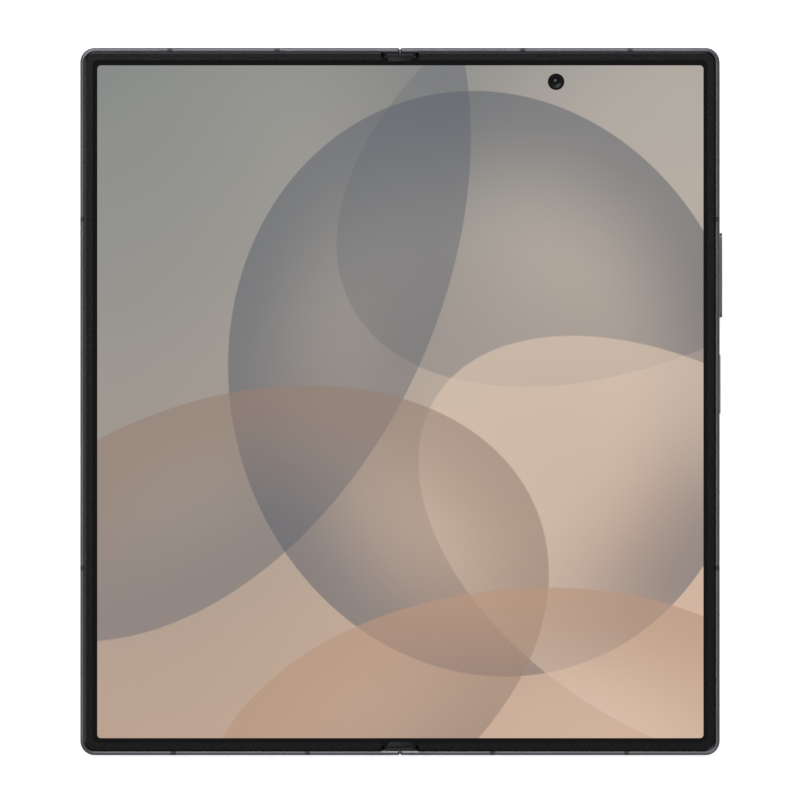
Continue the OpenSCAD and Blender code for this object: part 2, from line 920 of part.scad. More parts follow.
module rear_idler_gears() color("gold") lifted() idler_gears(idler_x, 18);

module cover_idler_gears() color("gold") lifted() idler_gears(-idler_x, 0);

module rear_sync_arms() color("darkkhaki") lifted() sync_arm(144);

module cover_sync_arms() color("darkkhaki") lifted() on_cover() sync_arm(126);

module friction_washers() color("silver") lifted() {
    w = 0.1;
    for (y = gear_modules, s = [-1, 1], x = [-gear_x, gear_x]) {
        translate([x, y + s * 1.33 - w / 2, gear_z]) rotate([-90, 0, 0]) difference() {
            cylinder(r = 0.42, h = w);
            translate([0, 0, -1]) cylinder(r = shaft_r, h = 3);
        }
    }
}

// Closes the spine's ends, with a visor on top that leans over the fold.
module spine_end_caps() color([0.1, 0.1, 0.11]) lifted() both_ends() {
    along_y(spine_y, spine_y + 0.3) spine_section(0);
    foot_z = spine_top - 0.1;
    visor_z = body_t - 0.45;
    along_y(spine_y - 0.35, spine_y + 0.1) {
        polygon([[-2.6, foot_z], [2.6, foot_z], [3.1, visor_z], [-3.1, visor_z]]);
    }
}

// The protectors at both ends of the fold, beside the display's edge: a domed
// pad on a thin foot.
module end_protectors() color([0.16, 0.16, 0.17]) lifted() both_ends() {
    dome_r = 10;
    pad_top = body_t - 0.25;
    along_y(spine_y - 1.65, spine_y - 0.6) intersection() {
        translate([0, pad_top - dome_r]) circle(dome_r, $fn = 256);
        translate([-pad_x, panel_z0]) square([2 * pad_x, 1]);
    }
    slab([-3.6, spine_y - 1.2, panel_z0 - 0.2], [3.6, spine_y - 0.4, panel_z0], 0.2);
}

// The bending part of the display, with a stepped notch at both ends.
module main_display_fold() color("rosybrown") lifted() {
    y_edge = half_h - panel_inset;
    y_cap = spine_y - 0.7;
    y_pad = spine_y - 1.7;
    translate([0, 0, panel_z0]) linear_extrude(panel_z1 - panel_z0) {
        square([2 * bend_x, 2 * y_pad], center = true);
        for (side = [0, 1]) {
            mirror([side, 0]) {
                translate([pad_x + 0.1, -y_cap]) square([bend_x - pad_x - 0.1, 2 * y_cap]);
                translate([trim_end_x + 0.1, -y_edge]) square([bend_x - trim_end_x - 0.1, 2 * y_edge]);
            }
        }
    }
}

// The plate under the fold, which sinks into the spine as the phone shuts.
module floor_plate() color("darkgray") lifted() {
    translate([0, 0, axis_z]) linear_extrude(wing_t) difference() {
        translate([-base_step_x, -wing_y]) square([2 * base_step_x, 2 * wing_y]);
        for (y = gear_modules, s = [-1, 1]) {
            translate([s * (0.85 + 1), y]) square([2, 3.6], center = true);
        }
    }
    for (y = arm_modules, dy = guide_pins_y) {
        translate([0, y + dy, guide_pin_z0]) cylinder(r = guide_pin_r, h = axis_z - guide_pin_z0 + eps);
    }
}

// ---- cover half ----------------------------------------------------------

// The opening in the cover half's side wall for the card tray.
module tray_opening(grow) {
    box([-half_w - 1, tray_y - tray_w / 2 - grow, tray_z - tray_t / 2 - grow],
        [-half_w + ledge_in + 1, tray_y + tray_w / 2 + grow, tray_z + tray_t / 2 + grow]);
}

module cover_frame() color("dimgray") lifted() difference() {
    on_cover() half_frame();
    tray_opening(0.06);
    for (x = earpiece_holes_x) {
        rod_y(x, body_t / 2, earpiece_hole_r, half_h - ledge_in - 1, half_h + 1);
    }
}

module cover_antenna_breaks() color("slategray") lifted() on_cover() antenna_breaks();

module cover_midplate() color("gray") lifted() on_cover() midplate(cover_bosses);

module cover_glass() color([0.05, 0.05, 0.06]) lifted() on_cover() {
    difference() {
        linear_extrude(glass_t) half_plan(strip_w + 0.05, glass_inset, corner_r - glass_inset);
        translate([cover_camera_at[0], cover_camera_at[1], -1]) cylinder(r = punch_r, h = 3);
        translate([cover_camera_at[0], half_h - 2.3, -1]) linear_extrude(3) rotate(90) stadium(11, 0.6);
    }
}

module cover_display() color([0.1, 0.1, 0.12]) lifted() on_cover() {
    slab([rail_x + 0.3, -75.8, inner_z], [half_w - ledge_in - 0.1, 68.6, 0.8], 1);
}

module cover_bezel_trim() color([0.14, 0.14, 0.15]) lifted() on_cover() bezel_trim();

module main_display_left() color("rosybrown") lifted() on_cover() display_panel();

module cover_camera() color([0.06, 0.06, 0.08]) lifted() on_cover() {
    translate([cover_camera_at[0], cover_camera_at[1], 0]) {
        translate([0, 0, 0.15]) cylinder(r = punch_r - 0.1, h = 1);
        slab([-3, -2.6, 0.95], [3, 3, 2.6], 0.5);
    }
}

module earpiece() color([0.1, 0.1, 0.1]) lifted() on_cover() {
    slab([14, 70, 0.85], [31, 76.4, 2.85], 1);
}

module cover_battery() color([0.2, 0.2, 0.22]) lifted() on_cover() battery();

// A small board with its two metal cans.
module sub_board() color("darkgreen") lifted() on_cover() {
    difference() {
        slab([41, 2, board_z0], [68.6, 66, board_z1], 1);
        board_screw_holes(cover_bosses);
    }
    shield([43, 6], [66, 30]);
    shield([43, 34], [60, 62]);
}

// The cage that the card tray slides into.
module card_socket() color("silver") lifted() {
    gap = 0.08;
    t = 0.15;
    x0 = -half_w + ledge_in + 0.1;
    x1 = -half_w + tray_l + 1.4;
    difference() {
        box([x0, tray_y - tray_w / 2 - gap - t, tray_z - tray_t / 2 - gap - t],
            [x1, tray_y + tray_w / 2 + gap + t, tray_z + tray_t / 2 + gap + t]);
        box([x0 - 1, tray_y - tray_w / 2 - gap, tray_z - tray_t / 2 - gap],
            [x1 - t, tray_y + tray_w / 2 + gap, tray_z + tray_t / 2 + gap]);
    }
}

// The tray: a face flush with the frame and a frame that holds two cards.
module card_tray() color("dimgray") lifted() {
    x0 = -half_w + 0.05;
    z0 = tray_z - tray_t / 2;
    z1 = tray_z + tray_t / 2;
    difference() {
        box([x0, tray_y - tray_w / 2, z0], [x0 + tray_l, tray_y + tray_w / 2, z1]);
        slab([x0 + 3.4, tray_y - 4.5, z0 + 0.35], [x0 + 16, tray_y + 4.5, z1 + 1], 0.8);
        translate([x0 - 1, tray_y + tray_w / 2 - 1.2, tray_z]) rotate([0, 90, 0]) cylinder(r = 0.4, h = 3);
    }
}

module cover_hinge_brackets() color("lightslategray") lifted() on_cover() {
    for (y = arm_modules) {
        bracket(y, 1);
    }
}

module cover_hinge_screws() color("black") lifted() on_cover() hinge_screws();

module cover_wing_plate() color("darkgray") lifted() on_cover() wing_plate();

rear_frame();
rear_antenna_breaks();
rear_midplate();
rear_back_glass();
rear_bezel_trim();
main_display_right();
camera_island();
lens_rings();
lens_covers();
camera_modules();
flash_window();
inner_camera();
main_board();
board_shields();
rear_battery();
charging_coil();
usb_port();
loudspeaker();
vibration_motor();
key_switches();
rear_hinge_brackets();
rear_hinge_screws();
volume_key();
power_key();
rear_wing_plate();
spine_cover();
hinge_bases();
spine_end_caps();
end_protectors();
gear_shafts();
friction_washers();
main_display_fold();
floor_plate();
rear_idler_gears();
cover_idler_gears();
rear_sync_arms();
cover_sync_arms();
cover_frame();
cover_antenna_breaks();
cover_midplate();
cover_glass();
cover_display();
cover_bezel_trim();
main_display_left();
cover_camera();
earpiece();
cover_battery();
sub_board();
card_socket();
card_tray();
cover_hinge_brackets();
cover_hinge_screws();
cover_wing_plate();
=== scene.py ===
"""Looks of an open folding phone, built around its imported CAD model.

The phone lies flat with its inner display up. X runs across both halves, Y along the fold, Z out of the
display. Every length is in metres in the meshes and in millimetres in the classes' size fields.
"""

import json
import logging
import math
from dataclasses import dataclass
from enum import Enum

import bmesh
import bpy
import numpy as np
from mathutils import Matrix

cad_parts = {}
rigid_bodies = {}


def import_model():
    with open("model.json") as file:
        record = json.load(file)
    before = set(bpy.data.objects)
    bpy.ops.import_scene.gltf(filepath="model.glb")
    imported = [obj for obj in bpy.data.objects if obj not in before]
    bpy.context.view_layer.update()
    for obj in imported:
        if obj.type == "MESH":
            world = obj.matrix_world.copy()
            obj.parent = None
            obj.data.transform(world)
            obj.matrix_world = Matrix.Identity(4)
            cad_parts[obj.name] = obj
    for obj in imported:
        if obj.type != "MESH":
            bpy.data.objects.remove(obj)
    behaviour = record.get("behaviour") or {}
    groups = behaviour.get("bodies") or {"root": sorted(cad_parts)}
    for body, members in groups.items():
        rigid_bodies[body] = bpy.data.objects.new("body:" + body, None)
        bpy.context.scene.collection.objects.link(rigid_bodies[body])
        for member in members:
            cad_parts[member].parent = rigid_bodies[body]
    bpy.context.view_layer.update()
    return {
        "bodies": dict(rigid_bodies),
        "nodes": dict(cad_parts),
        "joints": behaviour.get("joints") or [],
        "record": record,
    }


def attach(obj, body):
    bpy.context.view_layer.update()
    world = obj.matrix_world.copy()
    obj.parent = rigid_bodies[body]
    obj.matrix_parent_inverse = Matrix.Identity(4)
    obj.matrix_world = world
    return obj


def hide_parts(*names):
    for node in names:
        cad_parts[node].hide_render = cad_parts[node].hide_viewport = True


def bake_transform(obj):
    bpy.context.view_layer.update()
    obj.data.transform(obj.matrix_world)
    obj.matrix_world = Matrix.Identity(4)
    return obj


MM = 0.001
FLAT = 1e6  # the unit along Z of a frame in which a point's height doesn't count
NOISE_SPAN = (0.3, 0.7)  # most of a noise lies in this
PATCH_SPAN = (0.35, 0.65)  # the part of a noise that carries a colour's patches
PANEL_UV, UV_MIDDLE = "panel", 0.5  # the display's UV map, and where the phone's origin is in it
FRONT_CAMERA_AT = (34.95, 71.6)
REAR_LENSES_AT = ((58.0, 62.0), (58.0, 44.5), (58.0, 27.0))
LENS_EDGE_DEG = 30.0  # a lens's edges that turn by more than this stay sharp
Pair = tuple[float, float]
Triple = tuple[float, float, float]
Colour = Triple
Piece = bpy.types.Object
Socket = bpy.types.NodeSocket
Value = Socket | float | tuple[float, ...]
LOG = logging.getLogger("phone")


class Half(Enum):
    """The two halves of the phone, each with the sign of its x."""

    REAR = 1
    COVER = -1


def srgb(red: float, green: float, blue: float) -> Colour:
    """Turns a display colour into a linear one.

    Args:
        red, green, blue: the colour from 0 to 255, as a screen shows it.

    Returns:
        The same colour in linear light, from 0 to 1: ((c + 0.055) / 1.055) ** 2.4, straight near black.
    """
    parts = np.array([red, green, blue], float) / 255
    linear = np.where(parts <= 0.04045, parts / 12.92, ((parts + 0.055) / 1.055) ** 2.4)
    return tuple(float(c) for c in linear)


# ---- materials -------------------------------------------------------------


class Sketch:
    """A node material round one Principled shader, with short names for the nodes that the finishes use."""

    def __init__(self, name: str) -> None:
        """Starts an empty material with its shader and output.

        Args:
            name: the material's name.
        """
        self.material = bpy.data.materials.new(name)
        self.material.use_nodes = True
        self.tree = self.material.node_tree
        self.tree.nodes.clear()
        self.shader = self.tree.nodes.new("ShaderNodeBsdfPrincipled")
        output = self.tree.nodes.new("ShaderNodeOutputMaterial")
        self.tree.links.new(self.shader.outputs["BSDF"], output.inputs["Surface"])

    def node(self, kind: str, inputs: dict | None = None, **settings: str) -> bpy.types.Node:
        """Adds a node.

        Args:
            kind: the node's type name without "ShaderNode".
            inputs: values or sockets for its inputs, by name or number.
            settings: the node's own properties.

        Returns:
            The node.
        """
        made = self.tree.nodes.new("ShaderNode" + kind)
        for key, value in settings.items():
            setattr(made, key, value)
        for key, value in (inputs or {}).items():
            self.feed(made.inputs[key], value)
        return made

    def feed(self, socket: Socket, value: Value) -> None:
        """Links a socket to an input, or sets the input's own value.

        Args:
            socket: the input.
            value: another node's output, or a number, vector or colour.
        """
        if isinstance(value, bpy.types.NodeSocket):
            self.tree.links.new(value, socket)
        elif socket.type == "RGBA" and len(value) == 3:
            socket.default_value = (*value, 1.0)
        else:
            socket.default_value = value

    def set(self, **values: Value) -> None:
        """Sets shader inputs: underscores in a name stand for spaces."""
        for key, value in values.items():
            self.feed(self.shader.inputs[key.replace("_", " ")], value)

    def place(self) -> Socket:
        """The point on the piece, in metres from the phone's origin."""
        return self.node("TexCoord").outputs["Object"]

    def mapped(self, vector: Socket, at: Triple = (0, 0, 0), turn: float = 0.0,
               scale: Triple = (1, 1, 1)) -> Socket:
        """A point as a frame that is turned about Z sees it: (point - at), turned back, divided by scale."""
        frame = {"Vector": vector, "Location": at, "Rotation": (0, 0, turn), "Scale": scale}
        return self.node("Mapping", frame, vector_type="TEXTURE").outputs[0]

    def noise(self, size_mm: float, detail: float = 2.0, vector: Socket | None = None,
              stretch: Triple = (1, 1, 1)) -> Socket:
        """Soft noise whose lumps are size_mm across.

        Args:
            size_mm: the size of one lump.
            detail: how many finer layers it has.
            vector: the point, or None for the point on the piece.
            stretch: how much longer the lumps are along each axis.

        Returns:
            A value about 0.5, mostly within NOISE_SPAN.
        """
        unit = tuple(size_mm * MM * s for s in stretch)
        at = self.mapped(vector or self.place(), scale=unit)
        return self.node("TexNoise", {"Vector": at, "Scale": 1.0, "Detail": detail}).outputs["Fac"]

    def cells(self, unit: Triple, randomness: float = 1.0, distance: str = "EUCLIDEAN") -> bpy.types.Node:
        """The node of Voronoi cells, one to each box whose size along each axis is unit, in metres."""
        inputs = {"Vector": self.mapped(self.place(), scale=unit), "Scale": 1.0, "Randomness": randomness}
        return self.node("TexVoronoi", inputs, distance=distance)

    def span(self, value: Socket, start: float, end: float, low: float = 0.0, high: float = 1.0,
             smooth: bool = False) -> Socket:
        """Carries value from the span start to end over to the span low to high, clamped."""
        ends = {"Value": value, "From Min": start, "From Max": end, "To Min": low, "To Max": high}
        return self.node("MapRange", ends, interpolation_type="SMOOTHSTEP" if smooth else "LINEAR").outputs[0]

    def math(self, operation: str, a: Value, b: Value = 0.0) -> Socket:
        """One arithmetic step on two values."""
        return self.node("Math", {0: a, 1: b}, operation=operation).outputs[0]

    def vector(self, operation: str, a: Value, b: Value = (0, 0, 0)) -> Socket:
        """One arithmetic step on two vectors."""
        return self.node("VectorMath", {0: a, 1: b}, operation=operation).outputs[0]

    def length(self, vector: Socket) -> Socket:
        """The length of a vector."""
        return self.node("VectorMath", {0: vector}, operation="LENGTH").outputs["Value"]

    def axes(self, vector: Socket) -> tuple[Socket, ...]:
        """The x, y and z of a vector."""
        split = self.node("SeparateXYZ", {0: vector})
        return tuple(split.outputs[axis] for axis in "XYZ")

    def away(self, centre: Pair, unit_mm: float = 1.0) -> Socket:
        """The distance from an upright axis: the length of (x, y) - centre, in units of unit_mm."""
        at = (centre[0] * MM, centre[1] * MM, 0)
        return self.length(self.mapped(self.place(), at=at, scale=(unit_mm * MM, unit_mm * MM, FLAT)))

    def mix(self, share: Value, a: Value, b: Value) -> Socket:
        """Colour a where share is 0 and colour b where it is 1."""
        return self.node("Mix", {0: share, 6: a, 7: b}, data_type="RGBA").outputs[2]

    def relief(self, height: Socket, depth_mm: float, under: Socket | None = None) -> Socket:
        """A normal for a surface's height.

        Args:
            height: the height, from 0 to 1.
            depth_mm: how high 1 is.
            under: another relief that this one lies on.

        Returns:
            The normal.
        """
        made = self.node("Bump", {"Height": height, "Distance": depth_mm * MM, "Strength": 1.0})
        if under is not None:
            self.feed(made.inputs["Normal"], under)
        return made.outputs[0]


@dataclass(frozen=True)
class Finish:
    """What every finish has: a name, a base colour with patches, and a roughness that rub moves both ways."""

    name: str
    colour: Colour
    roughness: float = 0.4
    rub: Pair = (0.02, 0.03)
    patch: Pair = (14.0, 0.06)

    def material(self) -> bpy.types.Material:
        """Makes the finish's material once and gives the same one afterwards.

        Returns:
            The material.
        """
        made = bpy.data.materials.get(self.name)
        if made is None:
            sketch = Sketch(self.name)
            self.draw(sketch)
            made = sketch.material
        return made

    def draw(self, sketch: Sketch) -> None:
        """Draws the finish's nodes on a sketch."""
        raise NotImplementedError

    def tones(self, sketch: Sketch) -> Socket:
        """The base colour in patches, which are patch[0] mm wide and change it by the share patch[1].

        Args:
            sketch: what to draw on.

        Returns:
            The colour.
        """
        size_mm, depth = self.patch
        low = tuple(c * (1 - depth) for c in self.colour)
        high = tuple(c * (1 + depth) for c in self.colour)
        return sketch.mix(sketch.span(sketch.noise(size_mm), *PATCH_SPAN), low, high)

    def rubbed(self, sketch: Sketch, noise: Socket, within: Pair = NOISE_SPAN) -> Socket:
        """The roughness, from its least where a noise is within[0] to its most where it is within[1]."""
        least, most = self.roughness - self.rub[0], self.roughness + self.rub[1]
        return sketch.span(noise, *within, least, most)


@dataclass(frozen=True)
class BlastedMetal(Finish):
    """Bead-blasted and anodised aluminium with a fine satin grain."""

    grain_mm: float = 0.07
    grain_depth_mm: float = 0.00015
    rub_grains: float = 4.0

    def draw(self, sketch: Sketch) -> None:
        """The grain is fine noise, and the roughness follows noise rub_grains times as wide.

        Args:
            sketch: what to draw on.
        """
        grain = sketch.noise(self.grain_mm, 1.0)
        sketch.set(Base_Color=self.tones(sketch), Metallic=1.0,
                   Roughness=self.rubbed(sketch, sketch.noise(self.grain_mm * self.rub_grains)),
                   Normal=sketch.relief(grain, self.grain_depth_mm))


@dataclass(frozen=True)
class RecessShadeMetal(BlastedMetal):
    """The same metal, with painted shade: near black inside the recess at each end of the fold, where shade
    falls.
    """

    half_width_mm: float = 4.35
    near_mm: float = 75.0
    far_mm: float = 78.22
    low_mm: float = 4.0
    edge_mm: float = 0.01
    # near black painted shade for the recess at each end of the fold
    painted_recess_shade: Colour = (0.003, 0.003, 0.004)

    def tones(self, sketch: Sketch) -> Socket:
        """The base colour, and near black painted shade where |x| < half_width, near < |y| < far and z > low.

        Args:
            sketch: what to draw on.

        Returns:
            The colour. The painted shade starts over the width edge_mm.
        """
        bare = super().tones(sketch)
        x, y, z = sketch.axes(sketch.vector("ABSOLUTE", sketch.place()))
        edge = self.edge_mm * MM
        across = sketch.span(x, self.half_width_mm * MM + edge, self.half_width_mm * MM)
        past_near = sketch.span(y, self.near_mm * MM, self.near_mm * MM + edge)
        before_far = sketch.span(y, self.far_mm * MM + edge, self.far_mm * MM)
        above = sketch.span(z, self.low_mm * MM, self.low_mm * MM + edge)
        inside = sketch.math("MULTIPLY", sketch.math("MULTIPLY", across, past_near),
                             sketch.math("MULTIPLY", before_far, above))
        # painted shade: the metal in the recess is darkened to near black
        return sketch.mix(inside, bare, self.painted_recess_shade)


@dataclass(frozen=True)
class GroundMetal(Finish):
    """Milled or ground metal: fine parallel scratches along one axis."""

    rub: Pair = (0.06, 0.08)
    patch: Pair = (5.0, 0.08)
    along: Triple = (1, 40, 1)
    scratch_mm: float = 0.035
    scratch_depth_mm: float = 0.0008

    def draw(self, sketch: Sketch) -> None:
        """Scratches are noise that is stretched along their direction.

        Args:
            sketch: what to draw on.
        """
        scratches = sketch.noise(self.scratch_mm, 2.0, stretch=self.along)
        sketch.set(Base_Color=self.tones(sketch), Metallic=1.0,
                   Roughness=self.rubbed(sketch, scratches),
                   Normal=sketch.relief(scratches, self.scratch_depth_mm))


@dataclass(frozen=True)
class TurnedMetal(Finish):
    """Metal turned on a lathe: fine rings round one centre, or several centres along Y."""

    rub: Pair = (0.05, 0.05)
    patch: Pair = (4.0, 0.05)
    centres: tuple[Pair, ...] = ((0.0, 0.0),)
    ring_mm: float = 0.06
    ring_depth_mm: float = 0.0006
    smudge_mm: float = 0.5

    def draw(self, sketch: Sketch) -> None:
        """Rings are sin(2 pi d / ring), where d is the distance to the nearest centre.

        Args:
            sketch: what to draw on.
        """
        nearest, *others = [sketch.away(centre) for centre in self.centres]
        for other in others:
            nearest = sketch.math("MINIMUM", nearest, other)
        rings = sketch.math("SINE", sketch.math("MULTIPLY", nearest, 2 * math.pi / self.ring_mm))
        sketch.set(Base_Color=self.tones(sketch), Metallic=1.0,
                   Roughness=self.rubbed(sketch, sketch.noise(self.smudge_mm)),
                   Normal=sketch.relief(sketch.span(rings, -1, 1), self.ring_depth_mm))


@dataclass(frozen=True)
class MouldedPlastic(Finish):
    """Moulded plastic with a spark-eroded grain."""

    patch: Pair = (9.0, 0.07)
    grain_mm: float = 0.12
    grain_depth_mm: float = 0.002
    rub_grains: float = 6.0
    gloss: float = 0.35

    def draw(self, sketch: Sketch) -> None:
        """The grain is the distance to the points of Voronoi cells, and the roughness follows wider noise.

        Args:
            sketch: what to draw on.
        """
        grain = sketch.cells((self.grain_mm * MM,) * 3).outputs["Distance"]
        sketch.set(Base_Color=self.tones(sketch), Specular_IOR_Level=self.gloss,
                   Roughness=self.rubbed(sketch, sketch.noise(self.grain_mm * self.rub_grains)),
                   Normal=sketch.relief(grain, self.grain_depth_mm))


@dataclass(frozen=True)
class EtchedGlass(Finish):
    """Glass printed on its inside and etched to a satin outside."""

    rub: Pair = (0.04, 0.04)
    patch: Pair = (18.0, 0.04)
    coat: float = 0.35
    coat_roughness: float = 0.22
    etch_mm: float = 0.05
    etch_depth_mm: float = 0.0006
    speckle_mm: float = 0.09
    speckle_gain: float = 1.5
    mica: float = 0.25
    mica_from: float = 0.7
    smudge_mm: float = 3.0

    def draw(self, sketch: Sketch) -> None:
        """A fine etch under a soft coat, over a print with mica where a cell's level passes mica_from.

        Args:
            sketch: what to draw on.
        """
        etch = sketch.noise(self.etch_mm, 1.0)
        speckle = sketch.cells((self.speckle_mm * MM,) * 3).outputs["Color"]
        level = sketch.node("SeparateColor", {0: speckle}).outputs[0]
        bright = tuple(c * self.speckle_gain for c in self.colour)
        sketch.set(Base_Color=sketch.mix(sketch.span(level, self.mica_from, 1), self.tones(sketch), bright),
                   Metallic=self.mica, Coat_Weight=self.coat, Coat_Roughness=self.coat_roughness,
                   Roughness=self.rubbed(sketch, sketch.noise(self.smudge_mm)),
                   Normal=sketch.relief(etch, self.etch_depth_mm))


@dataclass(frozen=True)
class PolishedGlass(Finish):
    """Dark polished glass with a very slight waviness."""

    rub: Pair = (0.0, 0.03)
    drift_mm: float = 24.0
    tint_end: Colour = (0.0048, 0.0048, 0.0056)
    film_nm: float = 0.0
    film_index: float = 1.38
    gloss: float = 0.55
    wave_mm: float = 11.0
    wave_depth_mm: float = 0.002
    smudge_mm: float = 1.2

    def draw(self, sketch: Sketch) -> None:
        """Waves bend the reflections a little, and the colour drifts from its own to tint_end.

        Args:
            sketch: what to draw on.
        """
        drift = sketch.span(sketch.noise(self.drift_mm), *PATCH_SPAN)
        sketch.set(Base_Color=sketch.mix(drift, self.colour, self.tint_end),
                   Roughness=self.rubbed(sketch, sketch.noise(self.smudge_mm, 3.0)),
                   Specular_IOR_Level=self.gloss,
                   Thin_Film_Thickness=self.film_nm, Thin_Film_IOR=self.film_index,
                   Normal=sketch.relief(sketch.noise(self.wave_mm, 1.0), self.wave_depth_mm))


@dataclass(frozen=True)
class BoardResist(Finish):
    """A circuit board: solder resist over traces, with plated pads."""

    patch: Pair = (7.0, 0.1)
    pad: Colour = srgb(196, 164, 96)
    trace_cell_mm: float = 0.9
    trace_pitch: float = 0.09
    trace_edge: Pair = (0.05, 0.07)
    trace_depth_mm: float = 0.012
    trace_polish: float = 0.08
    trace_gain: float = 1.9
    trace_lift: float = 0.004
    pad_cell_mm: float = 1.3
    pad_scatter: float = 0.6
    pad_edge: Pair = (0.14, 0.11)
    pad_depth_mm: float = 0.01

    def draw(self, sketch: Sketch) -> None:
        """Traces are contours of square Voronoi cells' distance, and pads are the middles of round ones.

        Args:
            sketch: what to draw on.
        """
        squares = sketch.cells((self.trace_cell_mm * MM, self.trace_cell_mm * MM, 1), distance="MANHATTAN")
        folded = sketch.math("PINGPONG", squares.outputs["Distance"], self.trace_pitch)
        trace = sketch.span(folded, *self.trace_edge)
        discs = sketch.cells((self.pad_cell_mm * MM, self.pad_cell_mm * MM, 1), randomness=self.pad_scatter)
        pads = sketch.span(discs.outputs["Distance"], *self.pad_edge)
        lighter = tuple(c * self.trace_gain + self.trace_lift for c in self.colour)
        resist = sketch.mix(trace, self.tones(sketch), lighter)
        sketch.set(Base_Color=sketch.mix(pads, resist, self.pad), Metallic=pads,
                   Roughness=sketch.span(trace, 0, 1, self.roughness, self.roughness - self.trace_polish),
                   Normal=sketch.relief(trace, self.trace_depth_mm, sketch.relief(pads, self.pad_depth_mm)))


@dataclass(frozen=True)
class FoilWrap(Finish):
    """The foil round a battery cell: shallow creases and a printed band along one end."""

    rub: Pair = (0.08, 0.08)
    patch: Pair = (3.0, 0.08)
    band: Colour = srgb(150, 150, 148)
    band_y_mm: float = 46.0
    band_edge_mm: float = 0.05
    metallic: float = 0.6
    crease_mm: float = 6.0
    crease_depth_mm: float = 0.05
    crease_span: Pair = (0.0, 0.2)

    def draw(self, sketch: Sketch) -> None:
        """Creases are folded noise, |noise - 0.5|.

        Args:
            sketch: what to draw on.
        """
        fold = sketch.math("ABSOLUTE", sketch.math("SUBTRACT", sketch.noise(self.crease_mm, 3.0), 0.5))
        y = sketch.axes(sketch.place())[1]
        start, end = self.band_y_mm - self.band_edge_mm, self.band_y_mm + self.band_edge_mm
        band = sketch.span(y, start * MM, end * MM)
        sketch.set(Base_Color=sketch.mix(band, self.tones(sketch), self.band), Metallic=self.metallic,
                   Roughness=self.rubbed(sketch, fold, self.crease_span),
                   Normal=sketch.relief(fold, self.crease_depth_mm))


@dataclass(frozen=True)
class Winding(Finish):
    """A flat coil of enamelled wire round a centre."""

    rub: Pair = (0.05, 0.08)
    centre: Pair = (24.4, -4.0)
    wire_mm: float = 0.3
    wire_depth_mm: float = 0.06
    gap_shade: float = 0.35
    smudge_mm: float = 0.8

    def draw(self, sketch: Sketch) -> None:
        """Each wire is one period of |sin(pi d / wire)|, where d is the distance from the coil's centre.

        Args:
            sketch: what to draw on.
        """
        away = sketch.away(self.centre, self.wire_mm)
        strand = sketch.math("ABSOLUTE", sketch.math("SINE", sketch.math("MULTIPLY", away, math.pi)))
        dark = tuple(c * self.gap_shade for c in self.colour)
        sketch.set(Base_Color=sketch.mix(strand, dark, self.colour), Metallic=1.0,
                   Roughness=self.rubbed(sketch, sketch.noise(self.smudge_mm)),
                   Normal=sketch.relief(strand, self.wire_depth_mm))


@dataclass(frozen=True)
class Diffuser(Finish):
    """A ribbed translucent window over a lamp: fine rings round its centre."""

    centre: Pair = (43.5, 60.0)
    coat: float = 0.6
    coat_roughness: float = 0.08
    rings_per_mm: float = 5.0
    ring_depth_mm: float = 0.05
    chip: Colour = srgb(238, 214, 120)
    chip_from_mm: float = 0.75
    chip_to_mm: float = 1.05

    def draw(self, sketch: Sketch) -> None:
        """Rings are a saw of the distance from the centre, and the lamp's chip shows yellower in the middle.

        Args:
            sketch: what to draw on.
        """
        away = sketch.away(self.centre)
        saw = sketch.math("FRACT", sketch.math("MULTIPLY", away, self.rings_per_mm))
        middle = sketch.span(away, self.chip_to_mm, self.chip_from_mm, smooth=True)
        sketch.set(Base_Color=sketch.mix(middle, self.colour, self.chip), Roughness=self.roughness,
                   Coat_Weight=self.coat, Coat_Roughness=self.coat_roughness,
                   Normal=sketch.relief(saw, self.ring_depth_mm))


@dataclass(frozen=True)
class Petal:
    """One soft translucent oval of the display's picture, in millimetres from its centre."""

    centre: Pair
    half_axes: Pair
    turn_deg: float
    tint: Colour
    strength: float
    depth: float


